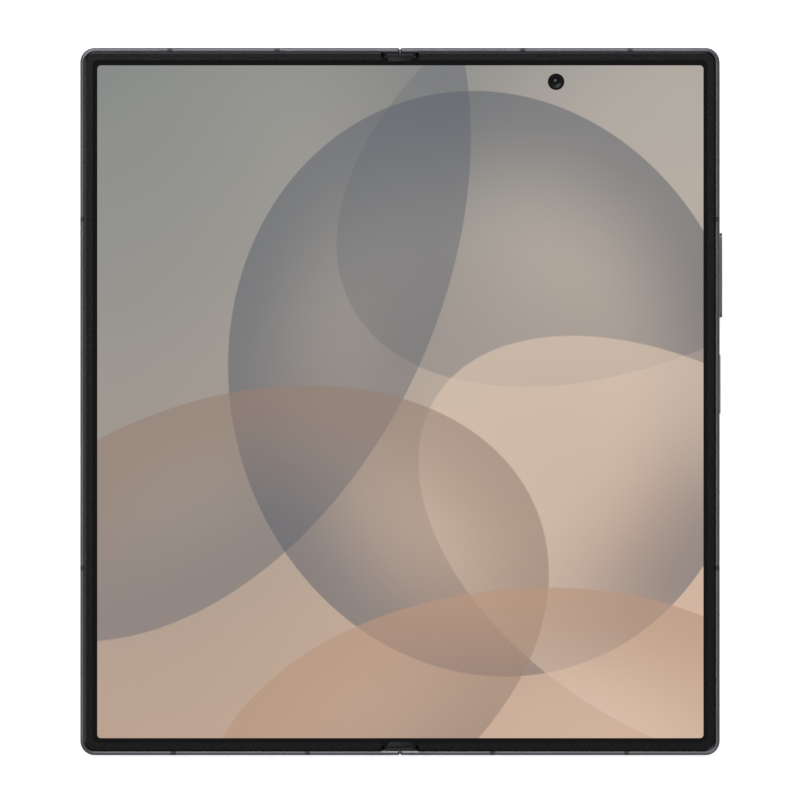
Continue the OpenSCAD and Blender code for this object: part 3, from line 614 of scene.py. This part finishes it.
@dataclass(frozen=True)
class DisplayPicture(Finish):
    """A lit display behind glass: a two-way blend of warm greys under soft overlapping ovals."""

    half_lit: Pair = (67.85, 75.3)
    lit_centre: Pair = (0.09, -0.04)
    corner_mm: float = 0.8
    edge_mm: float = 0.02
    camera: Pair = FRONT_CAMERA_AT
    camera_ring_mm: float = 1.85
    ring_edge_mm: float = 0.03
    petal_edge_mm: float = 0.12
    brightness: float = 0.97
    gloss: float = 0.4
    wave_mm: float = 15.0
    wave_depth_mm: float = 0.0015
    left: tuple[Colour, ...] = (srgb(194, 166, 147), srgb(168, 156, 145), srgb(150, 149, 145),
                                srgb(139, 142, 139))
    right: tuple[Colour, ...] = (srgb(211, 180, 158), srgb(213, 184, 164), srgb(189, 177, 165),
                                 srgb(176, 171, 163))
    petals: tuple[Petal, ...] = ()

    def blend(self, sketch: Sketch, height: Socket, stops: tuple[Colour, ...]) -> Socket:
        """A smooth run of colours from the bottom edge to the top one.

        Args:
            sketch: what to draw on.
            height: the height in the picture, from 0 to 1.
            stops: the colours, evenly spaced from the bottom.

        Returns:
            The colour.
        """
        ramp = sketch.node("ValToRGB", {0: height})
        ramp.color_ramp.interpolation = "B_SPLINE"
        while len(ramp.color_ramp.elements) < len(stops):
            ramp.color_ramp.elements.new(0.5)
        for i, (stop, colour) in enumerate(zip(ramp.color_ramp.elements, stops)):
            stop.position = i / (len(stops) - 1)
            stop.color = (*colour, 1.0)
        return ramp.outputs[0]

    def petal(self, sketch: Sketch, place: Socket, under: Socket, one: Petal) -> Socket:
        """Lays one oval over a colour.

        Args:
            sketch: what to draw on.
            place: the point on the display, in millimetres.
            under: the colour below.
            one: the oval.

        Returns:
            The colour with the oval: its tint is strongest at the rim, which is crisp outside, and fades
            inwards over its depth.
        """
        away = sketch.length(sketch.mapped(place, at=(*one.centre, 0), turn=math.radians(one.turn_deg),
                                           scale=(*one.half_axes, FLAT)))
        edge = self.petal_edge_mm / min(one.half_axes)
        inside = sketch.span(away, 1 + edge, 1 - edge)
        fade = sketch.span(away, 1 - one.depth, 1, 0.0, one.strength, smooth=True)
        return sketch.mix(sketch.math("MULTIPLY", inside, fade), under, one.tint)

    def picture(self, sketch: Sketch, place: Socket) -> Socket:
        """The picture: the two runs of colours, blended from left to right, under the ovals.

        Args:
            sketch: what to draw on.
            place: the point on the display, in millimetres.

        Returns:
            The colour.
        """
        x, y, _ = sketch.axes(place)
        height = sketch.span(y, -self.half_lit[1], self.half_lit[1])
        across = sketch.span(x, -self.half_lit[0], self.half_lit[0], smooth=True)
        sides = [self.blend(sketch, height, stops) for stops in (self.left, self.right)]
        colour = sketch.mix(across, *sides)
        for one in self.petals:
            colour = self.petal(sketch, place, colour, one)
        return colour

    def window(self, sketch: Sketch, place: Socket) -> Socket:
        """Where the display is lit.

        Args:
            sketch: what to draw on.
            place: the point on the display, in millimetres.

        Returns:
            1 inside a rounded rectangle, where the length of max(|p - centre| - (half - corner), 0) is less
            than the corner's radius, and outside the camera's black ring. 0 elsewhere.
        """
        framed = sketch.vector("ABSOLUTE", sketch.vector("SUBTRACT", place, (*self.lit_centre, 0)))
        corner_at = tuple(half - self.corner_mm for half in self.half_lit) + (0,)
        past = sketch.vector("MAXIMUM", sketch.vector("SUBTRACT", framed, corner_at))
        lit = sketch.span(sketch.length(past), self.corner_mm + self.edge_mm, self.corner_mm - self.edge_mm)
        to_camera = sketch.node("VectorMath", {0: place, 1: (*self.camera, 0)}, operation="DISTANCE")
        clear = sketch.span(to_camera.outputs["Value"], self.camera_ring_mm - self.ring_edge_mm,
                            self.camera_ring_mm + self.ring_edge_mm)
        return sketch.math("MULTIPLY", lit, clear)

    def draw(self, sketch: Sketch) -> None:
        """The picture glows inside the lit area, and the rest is black glass with slight waves.

        Args:
            sketch: what to draw on.
        """
        uv = sketch.node("UVMap", uv_map=PANEL_UV).outputs[0]
        scale, shift = 1 / MM, -UV_MIDDLE / MM
        place = sketch.node("VectorMath", {0: uv, 1: (scale, scale, 0), 2: (shift, shift, 0)},
                            operation="MULTIPLY_ADD").outputs[0]
        glow = sketch.mix(self.window(sketch, place), (0, 0, 0), self.picture(sketch, place))
        waves = sketch.noise(self.wave_mm, 1.0, vector=place)
        sketch.set(Base_Color=self.colour, Roughness=self.roughness, Emission_Color=glow,
                   Emission_Strength=self.brightness, Coat_Weight=0.0, Specular_IOR_Level=self.gloss,
                   Normal=sketch.relief(waves, self.wave_depth_mm))


GUNMETAL = BlastedMetal("key_aluminium", srgb(92, 92, 96), 0.44)
# frame metal, with painted shade darkening the recesses at the fold's ends
FRAME_METAL = RecessShadeMetal("frame_aluminium", srgb(92, 92, 96), 0.44)
BREAK_RESIN = MouldedPlastic("antenna_resin", srgb(42, 42, 45), 0.45, grain_depth_mm=0.0005, gloss=0.25)
TRIM_POLYMER = MouldedPlastic("bezel_polymer", srgb(4, 4, 5), 0.26, grain_depth_mm=0.0004, gloss=0.24)
PAD_POLYMER = MouldedPlastic("pad_polymer", srgb(14, 14, 16), 0.42, grain_mm=0.08, gloss=0.2)
CAP_POLYMER = MouldedPlastic("end_cap_polymer", srgb(12, 12, 15), 0.3, grain_mm=0.1, gloss=0.4)
BACKING_FOIL = GroundMetal("display_backing", srgb(40, 40, 42), 0.4, along=(1, 1, 1), scratch_mm=0.2)
BACK_PRINT = EtchedGlass("back_glass", srgb(62, 64, 70), 0.38)
COVER_BLACK = PolishedGlass("cover_glass_black", srgb(12, 12, 14), 0.05)
LENS_BLACK = PolishedGlass("lens_black", srgb(9, 9, 13), 0.04, film_nm=420.0)
ISLAND_METAL = BlastedMetal("island_aluminium", srgb(92, 93, 99), 0.38)
RING_METAL = TurnedMetal("ring_metal", srgb(120, 121, 128), 0.2, centres=REAR_LENSES_AT)
FRONT_LENS = PolishedGlass("front_lens", srgb(10, 10, 11), 0.2, tint_end=(0.002, 0.002, 0.003),
                           gloss=0.22)
FLASH_WINDOW = Diffuser("flash_diffuser", srgb(232, 228, 214), 0.25)
PLATE_METAL = GroundMetal("plate_alloy", srgb(150, 150, 152), 0.35, along=(30, 1, 1), scratch_mm=0.05)
HINGE_STEEL = GroundMetal("hinge_steel", srgb(176, 177, 182), 0.24)
GEAR_STEEL = GroundMetal("gear_steel", srgb(196, 190, 178), 0.2, scratch_mm=0.02)
SPRING_STEEL = GroundMetal("spring_steel", srgb(168, 168, 172), 0.28, along=(1, 60, 1))
SCREW_STEEL = GroundMetal("screw_steel", srgb(60, 60, 64), 0.3, along=(1, 1, 1), scratch_mm=0.05)
SHIELD_TIN = GroundMetal("shield_tin", srgb(186, 188, 190), 0.32, along=(18, 1, 1))
CAMERA_BLACK = BlastedMetal("camera_black", srgb(34, 34, 37), 0.42)
BOARD = BoardResist("board_resist", srgb(20, 46, 40), 0.42)
CELL = FoilWrap("cell_foil", srgb(44, 45, 48), 0.36)
COIL = Winding("coil_copper", srgb(206, 124, 74), 0.28)
BLACK_NYLON = MouldedPlastic("black_nylon", srgb(26, 26, 27), 0.55, grain_mm=0.2, gloss=0.4)
SWITCH_GOLD = GroundMetal("switch_gold", srgb(214, 172, 96), 0.26, scratch_mm=0.05)

SLATE = srgb(92, 98, 108)
TAUPE = srgb(150, 128, 114)
CREAM = srgb(226, 202, 182)
DISPLAY = DisplayPicture("display_picture", srgb(3, 3, 4), 0.09, petals=(
    Petal((58, 58), (78, 46), 28, srgb(120, 122, 124), 0.42, 0.8),
    Petal((-52, 34), (62, 92), -24, SLATE, 0.50, 0.62),
    Petal((20, 4), (58, 66), 14, SLATE, 0.62, 0.55),
    Petal((64, -34), (66, 40), -32, CREAM, 0.55, 0.9),
    Petal((-38, -52), (74, 52), 22, TAUPE, 0.62, 0.6),
    Petal((26, -86), (70, 44), 6, srgb(186, 150, 126), 0.66, 0.7),
))

FINISH_NODES: dict[Finish, tuple[str, ...]] = {
    FRAME_METAL: ("rear_frame", "cover_frame", "spine_cover"),
    GUNMETAL: ("volume_key", "power_key", "card_tray"),
    CAP_POLYMER: ("spine_end_caps",),
    BREAK_RESIN: ("rear_antenna_breaks", "cover_antenna_breaks"),
    TRIM_POLYMER: ("rear_bezel_trim", "cover_bezel_trim"),
    PAD_POLYMER: ("end_protectors",),
    BACK_PRINT: ("rear_back_glass",),
    COVER_BLACK: ("cover_glass",),
    LENS_BLACK: ("lens_covers",),
    ISLAND_METAL: ("camera_island",),
    RING_METAL: ("lens_rings",),
    FLASH_WINDOW: ("flash_window",),
    PLATE_METAL: ("rear_midplate", "cover_midplate"),
    HINGE_STEEL: ("rear_hinge_brackets", "cover_hinge_brackets", "hinge_bases"),
    GEAR_STEEL: ("gear_shafts", "rear_idler_gears", "cover_idler_gears", "rear_sync_arms", "cover_sync_arms"),
    SPRING_STEEL: ("rear_wing_plate", "cover_wing_plate", "floor_plate", "friction_washers", "usb_port",
                   "card_socket"),
    SCREW_STEEL: ("rear_hinge_screws", "cover_hinge_screws"),
    SHIELD_TIN: ("board_shields", "vibration_motor"),
    CAMERA_BLACK: ("camera_modules", "inner_camera", "cover_camera"),
    BOARD: ("main_board", "sub_board"),
    CELL: ("rear_battery", "cover_battery"),
    COIL: ("charging_coil",),
    BLACK_NYLON: ("loudspeaker", "earpiece", "cover_display"),
    SWITCH_GOLD: ("key_switches",),
}


# ---- meshes ----------------------------------------------------------------


def grid_faces(rows: int, columns: int, wrap: bool = False) -> np.ndarray:
    """The quads between the points of a grid, whose point (r, c) has the number r * columns + c.

    Args:
        rows, columns: how many points the grid has each way.
        wrap: whether the last column joins the first.

    Returns:
        One row of four point numbers for each quad.
    """
    r, c = np.meshgrid(np.arange(rows - 1), np.arange(columns if wrap else columns - 1), indexing="ij")
    here, below, right = r * columns, (r + 1) * columns, (c + 1) % columns
    return np.stack([here + c, here + right, below + right, below + c], -1).reshape(-1, 4)


def mesh_piece(name: str, points: np.ndarray, faces: np.ndarray, finish: Finish) -> Piece:
    """Puts points and faces into a smooth mesh object at the origin.

    Args:
        name: the piece's name.
        points: one row of x, y and z in metres for each point.
        faces: rows of point numbers.
        finish: the finish that it gets.

    Returns:
        The object, linked to the scene.
    """
    mesh = bpy.data.meshes.new(name)
    mesh.from_pydata(points.tolist(), [], faces.tolist())
    mesh.materials.append(finish.material())
    mesh.polygons.foreach_set("use_smooth", np.ones(len(mesh.polygons), bool))
    made = bpy.data.objects.new(name, mesh)
    bpy.context.scene.collection.objects.link(made)
    return made


def tidy_mesh(piece: Piece, merge_mm: float = 0.0005) -> None:
    """Joins points that coincide, drops loose ones and turns every face outwards.

    Args:
        piece: the piece.
        merge_mm: how far apart points that coincide may be.
    """
    work = bmesh.new()
    work.from_mesh(piece.data)
    bmesh.ops.remove_doubles(work, verts=work.verts, dist=merge_mm * MM)
    bmesh.ops.delete(work, geom=[v for v in work.verts if not v.link_faces], context="VERTS")
    bmesh.ops.recalc_face_normals(work, faces=work.faces)
    work.to_mesh(piece.data)
    work.free()


def lathe(name: str, profile: np.ndarray, centre: Pair, finish: Finish, steps: int = 96) -> Piece:
    """Turns a profile round an upright axis.

    Args:
        name: the piece's name.
        profile: rows of radius and height in millimetres, from the middle to the outside and back.
        centre: the axis's x and y in millimetres.
        finish: the finish that it gets.
        steps: how many points go round.

    Returns:
        The piece. Point (i, k) is (x + r_i cos a_k, y + r_i sin a_k, z_i).
    """
    turn = np.linspace(0, 2 * np.pi, steps, endpoint=False)
    r, z = profile[:, :1], profile[:, 1:]
    x = centre[0] + r * np.cos(turn)
    y = centre[1] + r * np.sin(turn)
    points = np.stack([x, y, np.broadcast_to(z, x.shape)], -1).reshape(-1, 3) * MM
    made = mesh_piece(name, points, grid_faces(len(profile), steps, wrap=True), finish)
    tidy_mesh(made)
    return made


def sharpen(piece: Piece, angle_deg: float = 35.0) -> None:
    """Marks edges that turn by more than an angle, so that smooth shading stops at them.

    Args:
        piece: the piece.
        angle_deg: the angle.
    """
    work = bmesh.new()
    work.from_mesh(piece.data)
    limit = math.radians(angle_deg)
    for edge in work.edges:
        edge.smooth = len(edge.link_faces) == 2 and edge.calc_face_angle(0) < limit
    work.to_mesh(piece.data)
    work.free()


def face_up(piece: Piece) -> None:
    """Turns a flat open sheet over if it looks down."""
    if piece.data.polygons[0].normal.z < 0:
        piece.data.flip_normals()


# ---- the inner display -----------------------------------------------------


@dataclass
class InnerDisplay:
    """The bending inner display, in two pieces that meet at the fold.

    Its outline steps in beside the fold: up to notch_x[0] it reaches notch_reach[0], and from notch_x[1] to
    notch_x[2] it reaches notch_reach[1]. bend_start is not used. The camera looks out through a
    hole, in a square of hole_box each way that has hole_cells quads along each side and hole_rings rings of
    points inside. The fields that end in columns or rows say how many points a stretch of the grid has.
    """

    half_width: float = 70.0
    half_height: float = 77.6
    corner: float = 1.6
    top: float = 6.2
    thickness: float = 0.4
    notch_x: tuple[float, ...] = (2.75, 2.9, 4.2, 4.4)
    notch_reach: tuple[float, ...] = (76.12, 77.1)
    bend_start: float = 2.6
    crease_depth: float = 0.03
    crease_width: float = 2.2
    dense_end: float = 7.0
    camera: Pair = FRONT_CAMERA_AT
    hole: float = 1.6
    hole_box: float = 2.6
    hole_cells: int = 10
    hole_rings: int = 5
    bend_columns: tuple[int, ...] = (14, 7, 14)
    corner_columns: int = 9
    plain_columns: int = 22
    plain_rows: int = 49
    beside_hole_columns: tuple[int, int] = (10, 12)
    beside_hole_rows: tuple[int, int] = (46, 3)

    def column_places(self, with_hole: bool) -> np.ndarray:
        """The x of each grid column: close together in the bend, at the corner and at the camera.

        Args:
            with_hole: whether this half has the camera's hole.

        Returns:
            The places. At the corner they are x_corner + r sin(a), for even steps of a to 90 degrees.
        """
        a, b, c, d = self.notch_x
        stretches = zip(((0, a), (b, c), (d, self.dense_end)), self.bend_columns)
        bend = np.concatenate([np.linspace(*ends, count) for ends, count in stretches])
        flat_end = self.half_width - self.corner
        corner = flat_end + self.corner * np.sin(np.linspace(0, np.pi / 2, self.corner_columns))
        if not with_hole:
            plain = np.linspace(self.dense_end, flat_end, self.plain_columns)
            return np.concatenate([bend, plain[1:], corner[1:]])
        x0, x1 = self.camera[0] - self.hole_box, self.camera[0] + self.hole_box
        before, after = self.beside_hole_columns
        return np.concatenate([bend, np.linspace(self.dense_end, x0, before)[1:],
                               np.linspace(x0, x1, self.hole_cells + 1)[1:],
                               np.linspace(x1, flat_end, after)[1:], corner[1:]])

    def row_places(self, with_hole: bool) -> np.ndarray:
        """The y of each grid row where the outline is straight.

        Args:
            with_hole: whether this half has the camera's hole.

        Returns:
            The places.
        """
        if not with_hole:
            return np.linspace(-self.half_height, self.half_height, self.plain_rows)
        y0, y1 = self.camera[1] - self.hole_box, self.camera[1] + self.hole_box
        below, above = self.beside_hole_rows
        return np.concatenate([np.linspace(-self.half_height, y0, below),
                               np.linspace(y0, y1, self.hole_cells + 1)[1:],
                               np.linspace(y1, self.half_height, above)[1:]])

    def hole_points(self) -> np.ndarray:
        """The rings of points from the border of the camera's square to its hole.

        Returns:
            The points. Ring i's point k is border_k (1 - t_i) + circle_k t_i from the camera's middle.
        """
        n = self.hole_cells
        side = np.linspace(-1, 1, n + 1)[:-1]
        ones = np.ones(n)
        border = np.concatenate([np.stack([side, -ones], 1), np.stack([ones, side], 1),
                                 np.stack([-side, ones], 1), np.stack([-ones, -side], 1)])
        circle = border / np.linalg.norm(border, axis=1)[:, None] * self.hole
        t = np.linspace(0, 1, self.hole_rings)[:, None, None]
        return (self.camera + border * self.hole_box * (1 - t) + circle * t).reshape(-1, 2)

    def sheet(self, half: Half) -> tuple[np.ndarray, np.ndarray]:
        """The display's front face as points and quads.

        Each column runs from -h(x) to +h(x), where h is half the height less the corner's rounding,
        r - sqrt(r² - (x - x_corner)²), and less again in the stepped notch at the fold. The camera's square
        of quads is left out, and rings of quads fill it from its border to the hole.

        Args:
            half: which half.

        Returns:
            The points' x and y in millimetres, and the quads.
        """
        with_hole = half is Half.REAR
        xs, ys = self.column_places(with_hole), self.row_places(with_hole)
        past = np.clip(xs - (self.half_width - self.corner), 0, self.corner)
        reach = self.half_height - self.corner + np.sqrt(self.corner**2 - past**2)
        reach = np.where(xs <= self.notch_x[2], self.notch_reach[1], reach)
        reach = np.where(xs <= self.notch_x[0], self.notch_reach[0], reach)
        x, y = np.meshgrid(xs, ys, indexing="ij")
        y = y / self.half_height * reach[:, None]
        points = np.stack([x, y], -1).reshape(-1, 2)
        quads = grid_faces(len(xs), len(ys))
        if with_hole:
            middle = points[quads].mean(1)
            quads = quads[np.abs(middle - self.camera).max(1) > self.hole_box]
            rings = grid_faces(self.hole_rings, 4 * self.hole_cells, wrap=True)
            quads = np.concatenate([quads, rings + len(points)])
            points = np.concatenate([points, self.hole_points()])
        points[:, 0] *= half.value
        return points, quads

    def build(self, half: Half) -> Piece:
        """Makes one half of the display as a closed sheet of its full thickness, with its picture's UV map.

        Args:
            half: which half.

        Returns:
            The piece. Its front dips along the fold by depth * exp(-(x / width)²).
        """
        flat, quads = self.sheet(half)
        z = self.top - self.crease_depth * np.exp(-((flat[:, 0] / self.crease_width) ** 2))
        points = np.column_stack([flat, z]) * MM
        made = mesh_piece(f"inner_display_{half.name.lower()}", points, quads, DISPLAY)
        made.data.materials.append(BACKING_FOIL.material())
        tidy_mesh(made)
        face_up(made)
        wall = made.modifiers.new("thickness", "SOLIDIFY")
        wall.thickness = self.thickness * MM
        wall.offset = -1
        wall.material_offset = wall.material_offset_rim = 1
        graph = bpy.context.evaluated_depsgraph_get()
        mesh = bpy.data.meshes.new_from_object(made.evaluated_get(graph))
        made.modifiers.clear()
        made.data = mesh
        self.add_uv(made)
        sharpen(made)
        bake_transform(made)
        return made

    @staticmethod
    def add_uv(piece: Piece) -> None:
        """Gives each corner the flat place of its point: (u, v) = (x, y) in metres + UV_MIDDLE.

        Args:
            piece: one half of the display.
        """
        mesh = piece.data
        places = np.zeros(len(mesh.vertices) * 3)
        mesh.vertices.foreach_get("co", places)
        corner_points = np.zeros(len(mesh.loops), int)
        mesh.loops.foreach_get("vertex_index", corner_points)
        layer = mesh.uv_layers.new(name=PANEL_UV)
        uv = places.reshape(-1, 3)[corner_points][:, :2] + UV_MIDDLE
        layer.data.foreach_set("uv", uv.astype(np.float32).ravel())


# ---- cameras ---------------------------------------------------------------


@dataclass
class FrontCamera:
    """The camera behind the display's opening: a black barrel with a stepped throat and a domed lens.

    Each step of the throat is a radius and a height from the front. The flange's heights are from the base.
    """

    centre: Pair = FRONT_CAMERA_AT
    base: float = 4.0
    barrel: float = 1.56
    front: float = 6.16
    lens_radius: float = 0.62
    lens_depth: float = 0.16
    lens_dome: float = 0.1
    throat: tuple[Pair, ...] = ((0.66, -0.3), (0.8, -0.3), (0.84, -0.16), (1.02, -0.14), (1.06, -0.04),
                                (1.34, -0.02), (1.36, 0.0))
    bevel: float = 0.03
    flange: float = 2.4
    flange_heights: Pair = (1.2, 1.15)

    def build(self) -> Piece:
        """Turns the barrel, throat and lens as one profile. The lens is z = front - depth - dome t² at r t.

        Returns:
            The piece.
        """
        r, z = self.barrel, self.front
        dome = np.linspace(0, 1, 9)
        lens = np.column_stack([self.lens_radius * dome, z - self.lens_depth - self.lens_dome * dome**2])
        inner, outer = (self.base + height for height in self.flange_heights)
        throat = np.array(self.throat) + (0, z)
        barrel = np.array([(r - self.bevel, z), (r, z - self.bevel), (r, inner), (self.flange, outer),
                           (self.flange, self.base), (0, self.base)])
        made = lathe("front_camera", np.concatenate([lens, throat, barrel]), self.centre, FRONT_LENS)
        sharpen(made, LENS_EDGE_DEG)
        return made


@dataclass
class RearLens:
    """One rear lens behind its round cover glass.

    Each stair is a radius and a height. Past them the face is flat between two radii, flat_rise above low,
    and bevelled at its rim, which starts at rim_rise above low.
    """

    radius: float = 5.65
    low: float = 0.35
    high: float = 0.65
    lens_radius: float = 1.9
    lens_depth: float = 0.08
    lens_dome: float = 0.06
    stairs: tuple[Pair, ...] = ((2.0, 0.58), (2.35, 0.58), (2.4, 0.52), (2.9, 0.5), (2.95, 0.45), (3.6, 0.43))
    flat: Pair = (3.65, 5.45)
    flat_rise: float = 0.02
    bevel: float = 0.03
    rim_rise: float = 0.08
    steps: int = 128

    def build(self, name: str, centre: Pair) -> Piece:
        """Turns a shallow stepped face with a domed middle, looking down: z = low + depth + dome t² at r t.

        Args:
            name: the piece's name.
            centre: the lens's x and y in millimetres.

        Returns:
            The piece.
        """
        dome = np.linspace(0, 1, 13)
        height = self.low + self.lens_depth + self.lens_dome * dome**2
        lens = np.column_stack([self.lens_radius * dome, height])
        r, z = self.radius, self.low
        flat = [(reach, z + self.flat_rise) for reach in self.flat]
        rim = [(r - self.bevel, z + self.bevel), (r, z + self.rim_rise), (r, self.high), (0, self.high)]
        face = np.array([*self.stairs, *flat, *rim])
        made = lathe(name, np.concatenate([lens, face]), centre, LENS_BLACK, self.steps)
        sharpen(made, LENS_EDGE_DEG)
        return made


@dataclass
class Cameras:
    """All the phone's visible lenses."""

    rear_at: tuple[Pair, ...] = REAR_LENSES_AT

    def build(self) -> list[Piece]:
        """Builds the lenses, and makes each ride on the rear half.

        Returns:
            The pieces.
        """
        front = FrontCamera().build()
        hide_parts("inner_camera")
        lenses = [RearLens().build(f"rear_lens_{i}", at) for i, at in enumerate(self.rear_at, 1)]
        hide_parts("lens_covers")
        for piece in [front, *lenses]:
            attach(piece, "rear_half")
        return [front, *lenses]


# ---- studio ----------------------------------------------------------------


@dataclass(frozen=True)
class PaleFloor(Finish):
    """A plain pale floor, lit a little from within as a light table is, so that shadows on it stay faint."""

    patch: Pair = (400.0, 0.004)
    gloss: float = 0.1
    glow: float = 0.75

    def draw(self, sketch: Sketch) -> None:
        """Even paint with a barely uneven tone, over its glow."""
        sketch.set(Base_Color=self.tones(sketch), Roughness=self.roughness, Specular_IOR_Level=self.gloss,
                   Emission_Color=self.colour, Emission_Strength=self.glow)


@dataclass
class Sun:
    """One broad soft light. Its azimuth turns from +Y towards +X."""

    name: str
    azimuth_deg: float
    elevation_deg: float
    strength: float
    width_deg: float


@dataclass
class Studio:
    """The floor, the lights and the camera, which looks straight down through a long lens."""

    floor_radius_m: float = 12.0
    floor_rings: int = 8
    floor_steps: int = 64
    frame_mm: float = 179.06
    lens_mm: float = 400.0
    sensor_mm: float = 36.0
    clip_m: Pair = (0.01, 50.0)
    view_centre: Pair = (0.01, 0.355)
    front_height: float = 6.6
    world_colour: Colour = (0.93, 0.95, 1.0)
    world_strength: float = 0.24
    backdrop_strength: float = 1.1
    suns: tuple[Sun, ...] = (
        Sun("key", 338, 64, 1.95, 29),
        Sun("left_edge", 272, 48, 0.36, 20),
        Sun("top_edge", 350, 48, 0.5, 20),
        Sun("low_fill", 143, 48, 0.79, 30),
    )

    def build_floor(self) -> None:
        """A flat disc under the lens rings. Ring i of n has the radius (i / n)² floor_radius_m."""
        rings, steps = self.floor_rings, self.floor_steps
        turn = np.linspace(0, 2 * np.pi, steps, endpoint=False)
        reach = np.linspace(0, 1, rings + 1)[1:, None] ** 2 * self.floor_radius_m
        around = np.stack([reach * np.cos(turn), reach * np.sin(turn), np.zeros((rings, steps))], -1)
        points = np.concatenate([around.reshape(-1, 3), [[0, 0, 0]]])
        paint = PaleFloor("floor_paint", srgb(238, 238, 239), 0.9)
        floor = mesh_piece("floor", points, grid_faces(rings, steps, wrap=True), paint)
        work = bmesh.new()
        work.from_mesh(floor.data)
        work.verts.ensure_lookup_table()
        for k in range(steps):
            work.faces.new([work.verts[k], work.verts[(k + 1) % steps], work.verts[-1]])
        bmesh.ops.recalc_face_normals(work, faces=work.faces)
        work.to_mesh(floor.data)
        work.free()
        face_up(floor)

    def build_lights(self) -> None:
        """Soft suns, each for some of the rim's slopes, and a dim sky that looks pale behind the floor."""
        for sun in self.suns:
            light = bpy.data.lights.new(sun.name, "SUN")
            light.energy = sun.strength
            light.angle = math.radians(sun.width_deg)
            lamp = bpy.data.objects.new(sun.name, light)
            a, e = math.radians(sun.azimuth_deg), math.radians(sun.elevation_deg)
            lamp.rotation_euler = (math.pi / 2 - e, 0, math.pi - a)
            bpy.context.scene.collection.objects.link(lamp)
        world = bpy.data.worlds.new("studio")
        world.use_nodes = True
        tree = world.node_tree
        dim, pale = tree.nodes["Background"], tree.nodes.new("ShaderNodeBackground")
        skies = ((dim, self.world_colour, self.world_strength), (pale, (1, 1, 1), self.backdrop_strength))
        for sky, colour, strength in skies:
            sky.inputs["Color"].default_value = (*colour, 1)
            sky.inputs["Strength"].default_value = strength
        path = tree.nodes.new("ShaderNodeLightPath")
        either = tree.nodes.new("ShaderNodeMixShader")
        tree.links.new(path.outputs["Is Camera Ray"], either.inputs[0])
        tree.links.new(dim.outputs[0], either.inputs[1])
        tree.links.new(pale.outputs[0], either.inputs[2])
        tree.links.new(either.outputs[0], tree.nodes["World Output"].inputs["Surface"])
        bpy.context.scene.world = world

    def build_camera(self) -> None:
        """A camera whose frame is frame_mm wide at the phone's front face."""
        lens = bpy.data.cameras.new("camera")
        lens.type = "PERSP"
        lens.lens = self.lens_mm
        lens.sensor_width = self.sensor_mm
        lens.clip_start, lens.clip_end = self.clip_m
        distance = self.frame_mm * self.lens_mm / self.sensor_mm
        place = (*self.view_centre, self.front_height + distance)
        camera = bpy.data.objects.new("camera", lens)
        camera.location = tuple(c * MM for c in place)
        bpy.context.scene.collection.objects.link(camera)
        bpy.context.scene.camera = camera

    def build(self) -> None:
        """Builds the whole studio and sets how light becomes screen colour."""
        self.build_camera()
        self.build_floor()
        self.build_lights()
        bpy.context.scene.view_settings.view_transform = "Standard"


# ---- the phone -------------------------------------------------------------


@dataclass
class Phone:
    """The whole phone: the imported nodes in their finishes, and the pieces that stand for some of them."""

    nodes: dict[str, Piece]

    def dress_nodes(self) -> None:
        """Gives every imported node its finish."""
        own = set(self.nodes)
        for finish, names in FINISH_NODES.items():
            for name in names:
                slots = self.nodes[name].data.materials
                for i in range(len(slots)):
                    slots[i] = finish.material()
                LOG.info("%s: %s", name, finish.name)
            own.difference_update(names)
        for name in sorted(own):
            LOG.info("%s has a piece of its own", name)

    def build_display(self) -> None:
        """Builds the two halves of the display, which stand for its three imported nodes."""
        display = InnerDisplay()
        right, left = display.build(Half.REAR), display.build(Half.COVER)
        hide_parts("main_display_right", "main_display_fold")
        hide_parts("main_display_left")
        for piece in (right, left):
            LOG.info("%s: %d points", piece.name, len(piece.data.vertices))

    def build(self) -> None:
        """Dresses the nodes, and builds each group of pieces."""
        self.dress_nodes()
        self.build_display()
        for piece in Cameras().build():
            LOG.info("%s: %d points", piece.name, len(piece.data.vertices))


def main() -> None:
    """Loads the frame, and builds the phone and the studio."""
    logging.basicConfig(level=logging.INFO, format="%(message)s")
    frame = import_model()
    Studio().build()
    Phone(frame["nodes"]).build()


if __name__ == "__main__":
    main()
